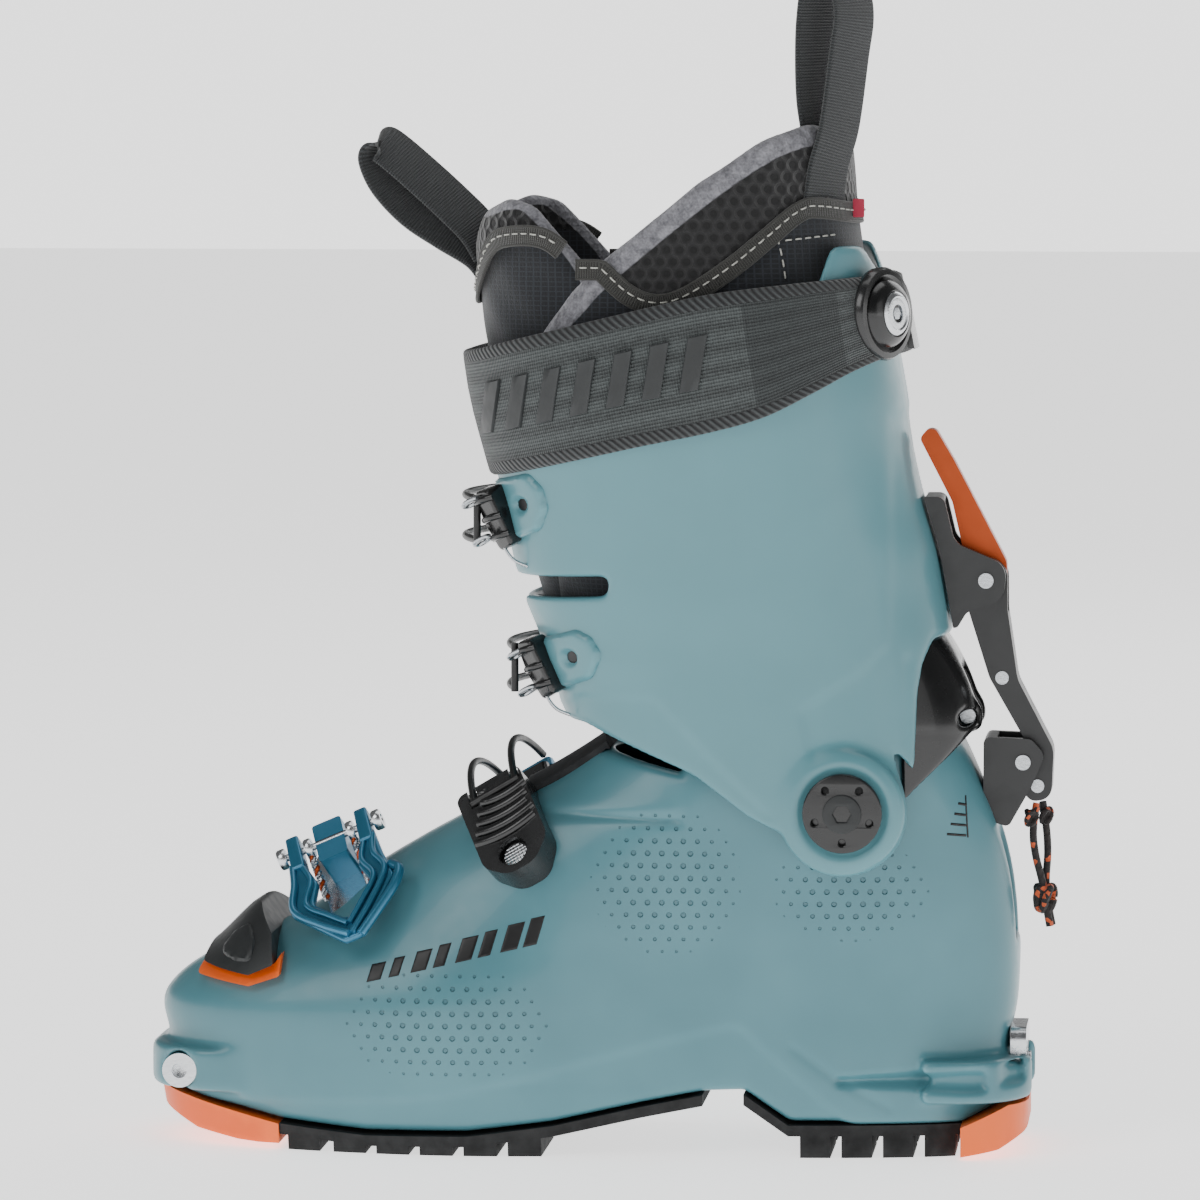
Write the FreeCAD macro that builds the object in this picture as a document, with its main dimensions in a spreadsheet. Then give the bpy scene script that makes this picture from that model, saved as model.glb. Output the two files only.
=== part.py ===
import FreeCAD, Part
import math
import os

# A right-foot ski touring boot with its walk mechanism, buckles, power strap and inner boot.
# Millimetres. +X points to the heel, +Y to the outer (lateral) side, +Z up.
# The origin is at ground level under the middle of the sole.

Vector = FreeCAD.Vector
Rotation = FreeCAD.Rotation
Placement = FreeCAD.Placement

SIZES = [
    ("pivot_x", 82.0),
    ("pivot_z", 112.0),
    ("lobe_radius", 20.0),
    ("bolt_head_radius", 12.5),
    ("bolt_head_height", 3.0),
    ("bolt_shank_radius", 5.0),
    ("bush_radius", 6.5),
    ("shell_wall", 4.5),
    ("cuff_wall", 4.0),
    ("shell_pivot_y", 41.0),
    ("cuff_pivot_y", 41.6),
    ("cuff_outer_y", 50.0),
    ("shaft_inner_radius", 55.5),
    ("ankle_outer_radius", 52.5),
    ("liner_wall", 6.0),
    ("strap_thickness", 3.0),
    ("sole_ground", 0.0),
    ("ledge_half_width", 34.5),
    ("ledge_low", 18.0),
    ("ledge_high", 32.0),
    ("toe_tip_x", -142.5),
    ("heel_tip_x", 140.5),
    ("socket_radius", 2.5),
    ("socket_depth", 5.0),
    ("socket_x", -130.5),
    ("socket_z", 24.5),
    ("fitting_half_length", 31.0),
    ("fitting_radius", 5.5),
    ("arm_pivot_x", 124.5),
    ("arm_pivot_z", 181.6),
    ("arm_half_width", 7.0),
    ("arm_slot_half_width", 4.0),
    ("lever_half_width", 3.4),
    ("bracket_inner_y", 8.0),
    ("bracket_plate", 3.0),
    ("catch_x", 136.5),
    ("catch_z", 124.1),
    ("pin_radius", 2.4),
    ("pin_clearance", 0.05),
    ("rivet_radius", 4.9),
    ("wire_radius", 1.2),
    ("lever_plate", 4.5),
    ("webbing_width", 19.0),
    ("webbing_thickness", 1.8),
    ("cord_radius", 1.2),
    ("knot_length", 9.0),
    ("knot_radius", 3.8),
    ("button_radius", 13.5),
    ("button_height", 4.0),
    ("sole_screw_radius", 3.2),
    ("sole_screw_height", 2.0),
]

doc = FreeCAD.newDocument("touring_boot")
sheet = doc.addObject("Spreadsheet::Sheet", "Sizes")
for row, (alias, value) in enumerate(SIZES, start=1):
    sheet.set("A%d" % row, alias)
    sheet.set("B%d" % row, str(value))
    sheet.setAlias("B%d" % row, alias)
doc.recompute()

SIZE = {alias: float(sheet.get(alias)) for alias, value in SIZES}
PIVOT = Vector(SIZE["pivot_x"], 0, SIZE["pivot_z"])
ARM_PIVOT = Vector(SIZE["arm_pivot_x"], 0, SIZE["arm_pivot_z"])
WIDE = 90.0
nodes = []


# ---------------------------------------------------------------- helpers

def keep(obj, label):
    """Name an object and list it as a piece of the boot."""
    obj.Label = label
    nodes.append(obj)
    return obj


def feature(label, shape):
    """A piece whose form is a loft or a sweep, held as a plain shape feature."""
    obj = doc.addObject("Part::Feature", label)
    obj.Shape = shape
    obj.Placement = Placement()
    return keep(obj, label)


def primitive(kind, name, place, **sizes):
    """A Part primitive whose sizes are expressions of the sheet."""
    obj = doc.addObject("Part::" + kind, name)
    for key, text in sizes.items():
        obj.setExpression(key, text)
    obj.Placement = place
    return obj


def join(kind, name, base, tools):
    """A Part boolean: Cut takes one tool, MultiFuse and MultiCommon take all."""
    obj = doc.addObject("Part::" + kind, name)
    if kind == "Cut":
        obj.Base = base
        obj.Tool = tools[0]
    else:
        obj.Shapes = [base] + tools
    return obj


def along(direction, position):
    """The placement that turns local +Z into a direction."""
    return Placement(position, Rotation(Vector(0, 0, 1), direction))


def frame(position, x_axis, y_axis):
    """The placement whose local X and Y point along two directions."""
    return Placement(position, Rotation(x_axis, y_axis, x_axis.cross(y_axis), "XYZ"))


def outline(corners):
    """Lines and tangent arcs round (u, v, radius) corners, as geometry in the XY plane."""
    count = len(corners)
    ends = []
    for index in range(count):
        before = Vector(*corners[index - 1][:2], 0)
        here = Vector(*corners[index][:2], 0)
        after = Vector(*corners[(index + 1) % count][:2], 0)
        radius = corners[index][2]
        if radius <= 0:
            ends.append((here, None, here))
            continue
        into = (before - here).normalize()
        out = (after - here).normalize()
        half = into.getAngle(out) / 2.0
        reach = radius / math.tan(half)
        bisector = (into + out).normalize()
        middle = here + bisector * (radius / math.sin(half) - radius)
        ends.append((here + into * reach, middle, here + out * reach))
    geometry = []
    for index in range(count):
        start, middle, end = ends[index]
        if middle is not None:
            geometry.append(Part.Arc(start, middle, end))
        following = ends[(index + 1) % count][0]
        if end.distanceToPoint(following) > 1e-4:
            geometry.append(Part.LineSegment(end, following))
    return geometry


def side_prism(corners, low=-WIDE, high=WIDE):
    """A side-view outline (x, z, radius) extruded across the boot from low to high y."""
    wire = Part.Wire([piece.toShape() for piece in outline(corners)])
    wire.rotate(Vector(), Vector(1, 0, 0), 90)
    wire.translate(Vector(0, low, 0))
    return Part.Face(wire).extrude(Vector(0, high - low, 0))


def plate(name, loops, thickness, place, role="XZ_Plane"):
    """A PartDesign plate: sketched loops padded both ways about their plane."""
    body = doc.addObject("PartDesign::Body", name)
    sketch = body.newObject("Sketcher::SketchObject", name + "_sketch")
    plane = [item for item in body.Origin.OriginFeatures if item.Role == role][0]
    sketch.AttachmentSupport = [(plane, "")]
    sketch.MapMode = "FlatFace"
    for loop in loops:
        for piece in loop:
            sketch.addGeometry(piece, False)
    pad = body.newObject("PartDesign::Pad", name + "_pad")
    pad.Profile = sketch
    pad.SideType = "Symmetric"
    pad.setExpression("Length", thickness)
    body.Placement = place
    return body


def ring(centre_u, centre_v, radius):
    """A full circle in a sketch plane."""
    return [Part.Circle(Vector(centre_u, centre_v, 0), Vector(0, 0, 1), radius)]


def slice_wire(height, front, rear, half_ball, half_heel, front_power, rear_power, turns=40):
    """A horizontal slice: a superellipse from front to rear, wider at the ball than the heel."""
    middle = (front + rear) / 2.0
    reach = (rear - front) / 2.0
    points = []
    for index in range(turns):
        angle = 2 * math.pi * index / turns
        across = math.sin(angle)
        ahead = math.cos(angle)
        power = rear_power if ahead > 0 else front_power
        x = middle + reach * math.copysign(abs(ahead) ** (2.0 / power), ahead)
        blend = min(1.0, max(0.0, (x + 55.0) / 90.0))
        blend = blend * blend * (3 - 2 * blend)
        half = half_ball + (half_heel - half_ball) * blend
        y = half * math.copysign(abs(across) ** (2.0 / power), across)
        points.append(Vector(x, y, height))
    curve = Part.BSplineCurve()
    curve.interpolate(points, PeriodicFlag=True)
    return Part.Wire([curve.toShape()])


def slices(rows, front_in=0.0, rear_in=0.0, side_in=0.0):
    """A solid through horizontal slices, each drawn in by the given amounts."""
    wires = []
    for height, front, rear, half_ball, half_heel, front_power, rear_power in rows:
        wires.append(slice_wire(height, front + front_in, rear - rear_in, half_ball - side_in,
                                half_heel - side_in, front_power, rear_power))
    return Part.makeLoft(wires, True, False)


def tube(points, radius):
    """A round tube along straight runs joined by tangent arcs."""
    corners = [Vector(*point) for point in points]
    count = len(corners)
    cuts = [(corners[0], None, corners[0])]
    for index in range(1, count - 1):
        here = corners[index]
        back = corners[index - 1] - here
        ahead = corners[index + 1] - here
        run = min(back.Length, ahead.Length)
        into = back.normalize()
        out = ahead.normalize()
        turn = math.pi - into.getAngle(out)
        bend = 0.45 * run / math.tan(turn / 2)
        reach = 0.45 * run
        middle = here + (into + out).normalize() * (bend / math.cos(turn / 2) - bend)
        cuts.append((here + into * reach, middle, here + out * reach))
        print("arc radius", round(bend, 1))
    cuts.append((corners[-1], None, corners[-1]))
    edges = []
    for index, (start, middle, end) in enumerate(cuts):
        if middle is not None:
            edges.append(Part.Arc(start, middle, end).toShape())
        if index + 1 < count:
            edges.append(Part.LineSegment(end, cuts[index + 1][0]).toShape())
    path = Part.Wire(edges)
    first = corners[1] - corners[0]
    profile = Part.Wire([Part.Circle(corners[0], first, radius).toShape()])
    shape = path.makePipeShell([profile], True, False)
    print("tube", round(path.Length, 1), "volume ratio",
          round(shape.Volume / (math.pi * radius ** 2 * path.Length), 3))
    return shape


def bow(points, radius):
    """A wire bent to the circular arc through three points."""
    first, middle, last = [Vector(*point) for point in points]
    arc = Part.Arc(first, middle, last)
    path = Part.Wire([arc.toShape()])
    start = arc.value(arc.FirstParameter)
    heading = arc.tangent(arc.FirstParameter)[0]
    profile = Part.Wire([Part.Circle(start, heading, radius).toShape()])
    return path.makePipeShell([profile], True, False)


def polar(radius, degrees):
    """A point in the side view, by radius and angle about the ankle pivot."""
    angle = math.radians(degrees)
    return PIVOT.x + radius * math.cos(angle), PIVOT.z + radius * math.sin(angle)


def pivot_drum(radius, low=-WIDE, high=WIDE):
    """A cylinder about the ankle axis."""
    return Part.makeCylinder(radius, high - low, Vector(PIVOT.x, low, PIVOT.z), Vector(0, 1, 0))


# ---------------------------------------------------------------- lower shell

# Slices: height, front x, rear x, half widths at the ball and the heel, front and rear power.
SHELL_ROWS = [
    (4.0, -126.0, 131.0, 40.0, 33.0, 2.6, 3.0),
    (18.0, -136.0, 132.0, 46.0, 36.0, 2.5, 3.0),
    (33.0, -138.0, 132.5, 50.0, 37.5, 2.4, 3.0),
    (48.0, -138.5, 135.0, 51.0, 38.0, 2.3, 3.0),
    (57.0, -128.0, 135.5, 50.0, 38.5, 2.2, 3.0),
    (66.0, -108.0, 135.6, 48.5, 39.0, 2.15, 3.0),
    (78.0, -86.0, 134.8, 46.5, 40.0, 2.1, 3.0),
    (90.0, -68.0, 133.0, 45.0, 40.5, 2.1, 3.0),
    (105.5, -40.8, 128.5, 43.0, 40.5, 2.1, 3.0),
    (117.0, -16.7, 123.5, 42.0, 40.5, 2.1, 3.0),
    (128.0, 1.0, 118.5, 41.0, 40.0, 2.2, 3.0),
    (146.0, 24.0, 108.0, 39.0, 39.0, 2.3, 3.0),
    (172.0, 44.0, 96.0, 36.0, 36.0, 2.4, 3.0),
]
INNER_ROWS = [row for row in SHELL_ROWS if row[0] > 30.0]
INNER_ROWS = [(24.0, -129.0) + INNER_ROWS[0][2:], (33.0, -135.5) + INNER_ROWS[0][2:]] + INNER_ROWS[1:]
INNER_ROWS.append((190.0, 52.0, 92.0, 34.0, 34.0, 2.4, 3.0))
INNER_FRONT = 8.5
INNER_REAR = 10.0
ANKLE = SIZE["ankle_outer_radius"]
THROAT_ANGLE = 168.5
PEAK_ANGLE = 28.0

shell_outer = slices(SHELL_ROWS)
shell_inner = slices(INNER_ROWS, INNER_FRONT, INNER_REAR, SIZE["shell_wall"])

# The side outline: sole edge with its arch, heel, rear peak, round ankle top and throat.
top_front = polar(ANKLE, THROAT_ANGLE)
top_middle = polar(ANKLE, 100.0)
top_rear = polar(ANKLE - 4.0, PEAK_ANGLE)
sole_edge = [(-98.0, 8.5), (-70.0, 6.0), (-37.0, 6.5), (-10.0, 10.0), (17.0, 16.0), (37.0, 20.0),
             (50.0, 20.5), (64.0, 10.5), (118.0, 10.5), (133.0, 17.0)]
below = [(-150.0, 18.0, 0), (-141.0, 18.0, 0)] + [(x, z, 0) for x, z in sole_edge] + [(150.0, 17.0, 0)]
lower_half = side_prism(below + [(150.0, 108.0, 0), (-150.0, 108.0, 0)])
crest_block = side_prism([(-60.0, 107.9, 0), (126.5, 107.9, 0), (top_rear[0], top_rear[1], 0),
                          (82.0, 140.0, 0), (top_front[0], top_front[1], 0), (2.0, 128.3, 0),
                          (-16.0, 140.0, 0)])
side_form = lower_half.fuse([crest_block, pivot_drum(ANKLE)])

# Sole ledges for bindings, rounded in plan.
LEDGE = SIZE["ledge_half_width"]
LEDGE_LOW = SIZE["ledge_low"]
LEDGE_TALL = SIZE["ledge_high"] - LEDGE_LOW


def ledge(tip, inward, nose):
    """A ledge reaching from its rounded tip towards the middle of the boot."""
    corners = [(tip, -LEDGE, nose), (tip, LEDGE, nose), (tip + inward, LEDGE, 0), (tip + inward, -LEDGE, 0)]
    wire = Part.Wire([piece.toShape() for piece in outline(corners)])
    wire.translate(Vector(0, 0, LEDGE_LOW))
    return Part.Face(wire).extrude(Vector(0, 0, LEDGE_TALL))


toe_ledge = ledge(SIZE["toe_tip_x"], 32.0, 26.0)
heel_ledge = ledge(SIZE["heel_tip_x"], -34.0, 24.0)
shell_solid = shell_outer.common(side_form).fuse([toe_ledge, heel_ledge])
pivot_bosses = [Part.makeCylinder(15.0, 6.0, Vector(PIVOT.x, y, PIVOT.z), Vector(0, 1, 0))
                for y in (-SIZE["shell_pivot_y"], SIZE["shell_pivot_y"] - 6.0)]
shell_solid = shell_solid.fuse(pivot_bosses)

# Walls thinner than the slices: the hollow, the rear groove and the bores for metal parts.
socket_at = Vector(SIZE["socket_x"], 0, SIZE["socket_z"])
bar_bore = Part.makeCylinder(SIZE["fitting_radius"] + 0.05, 2 * WIDE, socket_at - Vector(0, WIDE, 0),
                             Vector(0, 1, 0))
bolt_bore = pivot_drum(SIZE["bolt_shank_radius"] + 0.05)
rear_groove = Part.makeBox(30.0, 18.0, 40.0, Vector(128.3, -9.0, 79.0)).fuse(
    Part.makeBox(30.0, 18.0, 12.0, Vector(131.5, -9.0, 68.0)))
HEEL_CUT_X = 133.0
heel_seat = Part.makeBox(20.0, 26.0, 23.0, Vector(HEEL_CUT_X, -13.0, 16.9))
lower_shell = shell_solid.cut([shell_inner, bar_bore, bolt_bore, rear_groove, heel_seat])
feature("lower_shell", lower_shell)

# ---------------------------------------------------------------- sole rubbers and inserts

SKIN_THICKNESS = 3.5
LUG_GAP = 2.5


def sole_rubber(edge, form, lug_centres, lug_length, half_width, screw_places):
    """A rubber sole: a skin under the shell's lower edge, with two rows of lugs down to the ground."""
    ceiling = [(x, z - 0.02, 0) for x, z in edge]
    skin_floor = [(x, z - SKIN_THICKNESS, 0) for x, z in reversed(edge)]
    skin = side_prism(ceiling + skin_floor)
    ends = (edge[-1][0], edge[0][0])
    below_edge = side_prism(ceiling + [(end, SIZE["sole_ground"], 0) for end in ends])
    blocks = []
    for centre in lug_centres:
        for low_y in (-half_width, LUG_GAP):
            blocks.append(Part.makeBox(lug_length, half_width - LUG_GAP, 30.0,
                                       Vector(centre - lug_length / 2.0, low_y, 0)))
    holes = [Part.makeCylinder(SIZE["sole_screw_radius"] + 0.05, 30.0, Vector(x, 0, 0)) for x in screw_places]
    lug_rows = blocks[0].fuse(blocks[1:]).common(below_edge)
    return skin.fuse(lug_rows).common(form).cut(holes).removeSplitter()


SCREWS_FRONT = (-75.0, -33.0)
SCREWS_HEEL = (72.5, 98.5)
under_rows = slices([(-6.0,) + SHELL_ROWS[0][1:], SHELL_ROWS[1], SHELL_ROWS[2]], 0.0, 0.0, 1.0)
feature("sole_front", sole_rubber([(-98.0, 8.5), (-70.0, 6.0), (-37.0, 6.5), (-10.0, 10.0),
                                   (17.0, 16.0), (37.0, 20.0)], under_rows,
                                  [-90.0, -75.0, -61.0, -47.0, -33.0, -19.0], 10.5, 42.0, SCREWS_FRONT))
feature("sole_heel", sole_rubber([(50.0, 20.5), (64.0, 10.5), (118.0, 10.5)], under_rows,
                                 [72.5, 85.5, 98.5, 111.5], 9.5, 34.0, SCREWS_HEEL))
toe_form = slices([(2.0, -138.0, 131.0, 40.0, 33.0, 2.6, 3.0), (20.0, -141.0, 132.0, 44.0, 36.0, 2.5, 3.0)])
feature("toe_insert", side_prism([(-141.0, 17.8, 0), (-98.2, 8.4, 0), (-98.2, 1.5, 0), (-112.0, 2.5, 4),
                                  (-126.0, 5.0, 4), (-141.0, 12.0, 0)]).common(toe_form))
HEEL_INSERT_HALF = 31.0
heel_plan = outline([(100.0, -HEEL_INSERT_HALF, 0), (139.0, -HEEL_INSERT_HALF, 22.0),
                     (139.0, HEEL_INSERT_HALF, 22.0), (100.0, HEEL_INSERT_HALF, 0)])
heel_form = Part.Face(Part.Wire([piece.toShape() for piece in heel_plan])).extrude(Vector(0, 0, LEDGE_LOW))
feature("heel_insert", side_prism([(118.2, 10.3, 0), (133.0, 16.8, 0), (139.0, 16.8, 0), (139.0, 8.0, 3),
                                   (130.0, 3.0, 4), (118.2, 1.0, 0)]).common(heel_form))

SCREW_LOW = 3.0
screw_group = []
for x in SCREWS_FRONT + SCREWS_HEEL:
    screw_group.append(primitive("Cylinder", "sole_screw",
                                 Placement(Vector(x, 0, SCREW_LOW), Rotation()),
                                 Radius="Sizes.sole_screw_radius", Height="Sizes.sole_screw_height"))
keep(join("MultiFuse", "sole_screws", screw_group[0], screw_group[1:]), "sole_screws")

# ---------------------------------------------------------------- binding fittings

bar = primitive("Cylinder", "toe_bar", along(Vector(0, 1, 0), Vector(socket_at.x,
                -SIZE["fitting_half_length"], socket_at.z)),
                Radius="Sizes.fitting_radius", Height="2 * Sizes.fitting_half_length")
sockets = []
for name, side in (("medial", -1), ("lateral", 1)):
    sockets.append(primitive("Cylinder", "socket_" + name,
                             along(Vector(0, -side, 0), Vector(socket_at.x,
                                   side * SIZE["fitting_half_length"], socket_at.z)),
                             Radius="Sizes.socket_radius", Height="Sizes.socket_depth"))
both_sockets = join("MultiFuse", "socket_pair", sockets[0], [sockets[1]])
keep(join("Cut", "toe_fitting_bar", bar, [both_sockets]), "toe_fitting")

FITTING_X = 138.0
heel_plate = plate("heel_plate", [outline([(-13.0, 17.0, 2), (13.0, 17.0, 2), (13.0, 39.5, 4),
                                           (-13.0, 39.5, 4)]), ring(0.0, 28.0, 2.6),
                                  outline([(-8.5, 20.0, 1.4), (-5.5, 20.0, 1.4), (-5.5, 33.0, 1.4),
                                           (-8.5, 33.0, 1.4)]),
                                  outline([(5.5, 20.0, 1.4), (8.5, 20.0, 1.4), (8.5, 33.0, 1.4),
                                           (5.5, 33.0, 1.4)])],
                   "Sizes.socket_depth", Placement(Vector(HEEL_CUT_X + 2.6, 0, 0), Rotation()), "YZ_Plane")
keep(heel_plate, "heel_fitting")
keep(primitive("Cylinder", "heel_screw", along(Vector(1, 0, 0), Vector(HEEL_CUT_X + 0.2, 0, 28.0)),
               Radius="Sizes.pin_radius", Height="Sizes.socket_depth + 1"), "heel_fitting_screw")

# ---------------------------------------------------------------- inner boot, foot part

LINER_GAP = 0.6
foot_outer = slices(INNER_ROWS, INNER_FRONT + LINER_GAP, INNER_REAR + LINER_GAP, SIZE["shell_wall"] + LINER_GAP)
foot_wall = SIZE["liner_wall"] - 1.0
hollow_rows = [(34.0, -135.5) + INNER_ROWS[0][2:]] + INNER_ROWS[2:] + [(200.0, 52.0, 92.0, 34.0, 34.0, 2.4, 3.0)]
foot_hollow = slices(hollow_rows, INNER_FRONT + 2 * foot_wall, INNER_REAR + foot_wall,
                     SIZE["shell_wall"] + foot_wall)
BOARD_TOP = 27.3
foot_zone = side_prism([(-150.0, BOARD_TOP, 0), (150.0, BOARD_TOP, 0), (150.0, 106.0, 0), (60.0, 106.0, 0),
                        (4.0, 119.0, 0), (-150.0, 119.0, 0)]).fuse(pivot_drum(ANKLE - 2.0))
foot_zone = foot_zone.cut(side_prism([(PIVOT.x, PIVOT.z + 18.0, 0), (200.0, 134.0, 0), (200.0, 250.0, 0),
                                      (PIVOT.x, 250.0, 0)]))
liner_foot = foot_outer.common(foot_zone).cut([foot_hollow, pivot_drum(SIZE["bolt_shank_radius"] + 8.0)])
feature("liner_foot", liner_foot)
board_slab = Part.makeBox(300.0, 200.0, BOARD_TOP - 24.7, Vector(-150.0, -100.0, 24.2))
board = slices(INNER_ROWS, INNER_FRONT + 2.0, INNER_REAR + 2.0, SIZE["shell_wall"] + 2.0).common(board_slab)
feature("boot_board", board)

# ---------------------------------------------------------------- ankle pivots

bolt_parts = []
for side in (-1, 1):
    shank = primitive("Cylinder", "bolt_shank", along(Vector(0, side, 0), Vector(PIVOT.x, side * 34.5,
                      PIVOT.z)), Radius="Sizes.bolt_shank_radius", Height="Sizes.cuff_outer_y - 34")
    head = primitive("Cylinder", "bolt_head", along(Vector(0, side, 0), Vector(PIVOT.x,
                     side * (SIZE["cuff_outer_y"] + 0.05), PIVOT.z)),
                     Radius="Sizes.bolt_head_radius", Height="Sizes.bolt_head_height")
    bolt_parts += [shank, head]
keep(join("MultiFuse", "ankle_bolt_pair", bolt_parts[0], bolt_parts[1:]), "ankle_bolts")

# ---------------------------------------------------------------- cuff

CUFF_ROWS = [
    (84.0, 3.0, 122.0, 50.0, 50.0, 3.0, 3.0),
    (112.0, -4.0, 121.0, 50.0, 50.0, 2.9, 2.9),
    (136.0, -10.0, 119.0, 50.5, 50.5, 2.7, 2.7),
    (162.0, -16.5, 115.5, 51.5, 51.5, 2.6, 2.6),
    (178.0, -23.0, 112.8, 53.0, 53.0, 2.5, 2.5),
    (192.0, -26.5, 110.0, 54.0, 54.0, 2.5, 2.5),
    (207.0, -28.8, 105.5, 55.5, 55.5, 2.5, 2.5),
    (222.0, -32.5, 102.0, 56.8, 56.8, 2.5, 2.5),
    (240.0, -36.8, 99.3, 58.0, 58.0, 2.5, 2.5),
    (262.0, -39.8, 95.3, 59.0, 59.0, 2.5, 2.5),
    (292.0, -42.0, 91.0, 58.0, 58.0, 2.5, 2.5),
]
WALL = SIZE["cuff_wall"]
cuff_outer = slices(CUFF_ROWS)
cuff_inner = slices([(80.0,) + CUFF_ROWS[0][1:]] + CUFF_ROWS[1:] + [(300.0, -42.0, 89.0, 58.0, 58.0, 2.5, 2.5)],
                    WALL, WALL, WALL)
CUFF_EDGE = [(-40.0, 147.0, 0), (-9.8, 137.5, 0), (0.0, 136.9, 6), (21.0, 128.4, 0), (35.0, 122.6, 30),
             (52.0, 109.8, 0), (63.5, 104.5, 0), (72.0, 112.0, 0), (92.0, 112.0, 0), (101.5, 108.5, 0),
             (103.8, 118.0, 20), (104.7, 147.7, 0), (106.0, 157.0, 14), (109.0, 164.0, 0),
             (140.0, 165.0, 0), (140.0, 200.0, 0), (90.5, 279.0, 0), (86.0, 287.9, 4), (77.0, 287.9, 4),
             (72.0, 272.0, 8), (0.0, 252.0, 0), (-60.0, 238.0, 0)]
cuff_form = side_prism(CUFF_EDGE).fuse(pivot_drum(SIZE["lobe_radius"]))
cuff_skin = cuff_outer.cut(cuff_inner).common(cuff_form)
lobes = []
for side in (-1, 1):
    low = side * SIZE["cuff_pivot_y"] if side > 0 else -SIZE["cuff_outer_y"]
    depth = SIZE["cuff_outer_y"] - SIZE["cuff_pivot_y"]
    lobes.append(Part.makeCylinder(SIZE["lobe_radius"] - 0.5, depth, Vector(PIVOT.x, low, PIVOT.z),
                                   Vector(0, 1, 0)))
flex_slot = side_prism([(-60.0, 173.5, 0), (8.5, 178.8, 3.1), (9.0, 185.1, 3.1), (-60.0, 181.0, 0)])
cuff_bore = pivot_drum(SIZE["bush_radius"])
head_flats = [Part.makeCylinder(SIZE["bolt_head_radius"] + 0.7, 10.0, Vector(PIVOT.x, y, PIVOT.z),
                                Vector(0, 1, 0)) for y in (SIZE["cuff_outer_y"], -SIZE["cuff_outer_y"] - 10.0)]
cuff = cuff_skin.fuse(lobes).cut([flex_slot, cuff_bore] + head_flats)
cuff = cuff.cut(pivot_drum(24.0, 0.3 - SIZE["cuff_pivot_y"], SIZE["cuff_pivot_y"] - 0.3))
feature("cuff", cuff)

bush_pair = []
for side in (-1, 1):
    place = along(Vector(0, side, 0), Vector(PIVOT.x, side * SIZE["cuff_pivot_y"], PIVOT.z))
    sleeve = primitive("Cylinder", "bush_sleeve", place, Radius="Sizes.bush_radius - 0.02",
                       Height="Sizes.cuff_outer_y - Sizes.cuff_pivot_y")
    bush_hole = primitive("Cylinder", "bush_hole", place, Radius="Sizes.bolt_shank_radius + Sizes.pin_clearance",
                          Height="Sizes.cuff_outer_y - Sizes.cuff_pivot_y")
    bush_pair.append(join("Cut", "bush", sleeve, [bush_hole]))
keep(join("MultiFuse", "bush_group", bush_pair[0], [bush_pair[1]]), "pivot_bushes")

# ---------------------------------------------------------------- inner boot, shaft part

SHAFT_ROWS = [
    (120.0, -2.0, 117.0, 46.0, 46.0, 2.6, 2.6),
    (162.0, -11.5, 110.8, 47.0, 47.0, 2.5, 2.5),
    (192.0, -21.5, 105.2, 49.5, 49.5, 2.4, 2.4),
    (222.0, -27.5, 97.2, 52.0, 52.0, 2.4, 2.4),
    (262.0, -35.0, 89.5, 54.5, 54.5, 2.4, 2.4),
    (292.0, -38.0, 83.0, 53.0, 53.0, 2.4, 2.4),
    (330.0, -34.0, 82.0, 47.0, 47.0, 2.4, 2.4),
]
liner_thick = SIZE["liner_wall"]
SHAFT_GAP = 1.2
shaft_outer = slices(SHAFT_ROWS, SHAFT_GAP, SHAFT_GAP, SHAFT_GAP)
shaft_inner = slices([(110.0,) + SHAFT_ROWS[0][1:]] + SHAFT_ROWS[1:-1] + [(335.0,) + SHAFT_ROWS[-1][1:]],
                     liner_thick, liner_thick, liner_thick)
shaft_ring = shaft_outer.cut(shaft_inner)
rear_low = polar(SIZE["shaft_inner_radius"] - 3.0, 56.0)
front_low = polar(SIZE["shaft_inner_radius"] - 3.0, 152.0)
FLAP_LINE = [(12.0, 150.0, 0), (-13.0, 255.0, 0), (4.0, 286.0, 0)]
flap_form = side_prism([(front_low[0], front_low[1], 0)] + FLAP_LINE +
                       [(37.0, 311.0, 30), (58.0, 323.0, 20), (70.0, 327.0, 5), (80.0, 321.0, 5),
                        (88.0, 286.0, 0), (125.0, 200.0, 0), (125.0, 168.0, 0),
                        (rear_low[0], rear_low[1], 0)])
shaft_room = pivot_drum(SIZE["shaft_inner_radius"])
feature("liner_shaft", shaft_ring.common(flap_form).cut(shaft_room))
front_foot = polar(96.0, 158.0)
tongue_form = side_prism([(front_foot[0] - 14.0, front_foot[1] + 6.0, 0), (8.0, 158.0, 0),
                          (-14.5, 254.0, 0), (2.0, 285.5, 0), (-12.0, 299.0, 8), (-25.0, 304.0, 5),
                          (-45.0, 285.0, 0), (-60.0, 255.0, 0)])
feature("liner_tongue", shaft_ring.common(tongue_form).cut(shaft_room))


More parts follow.
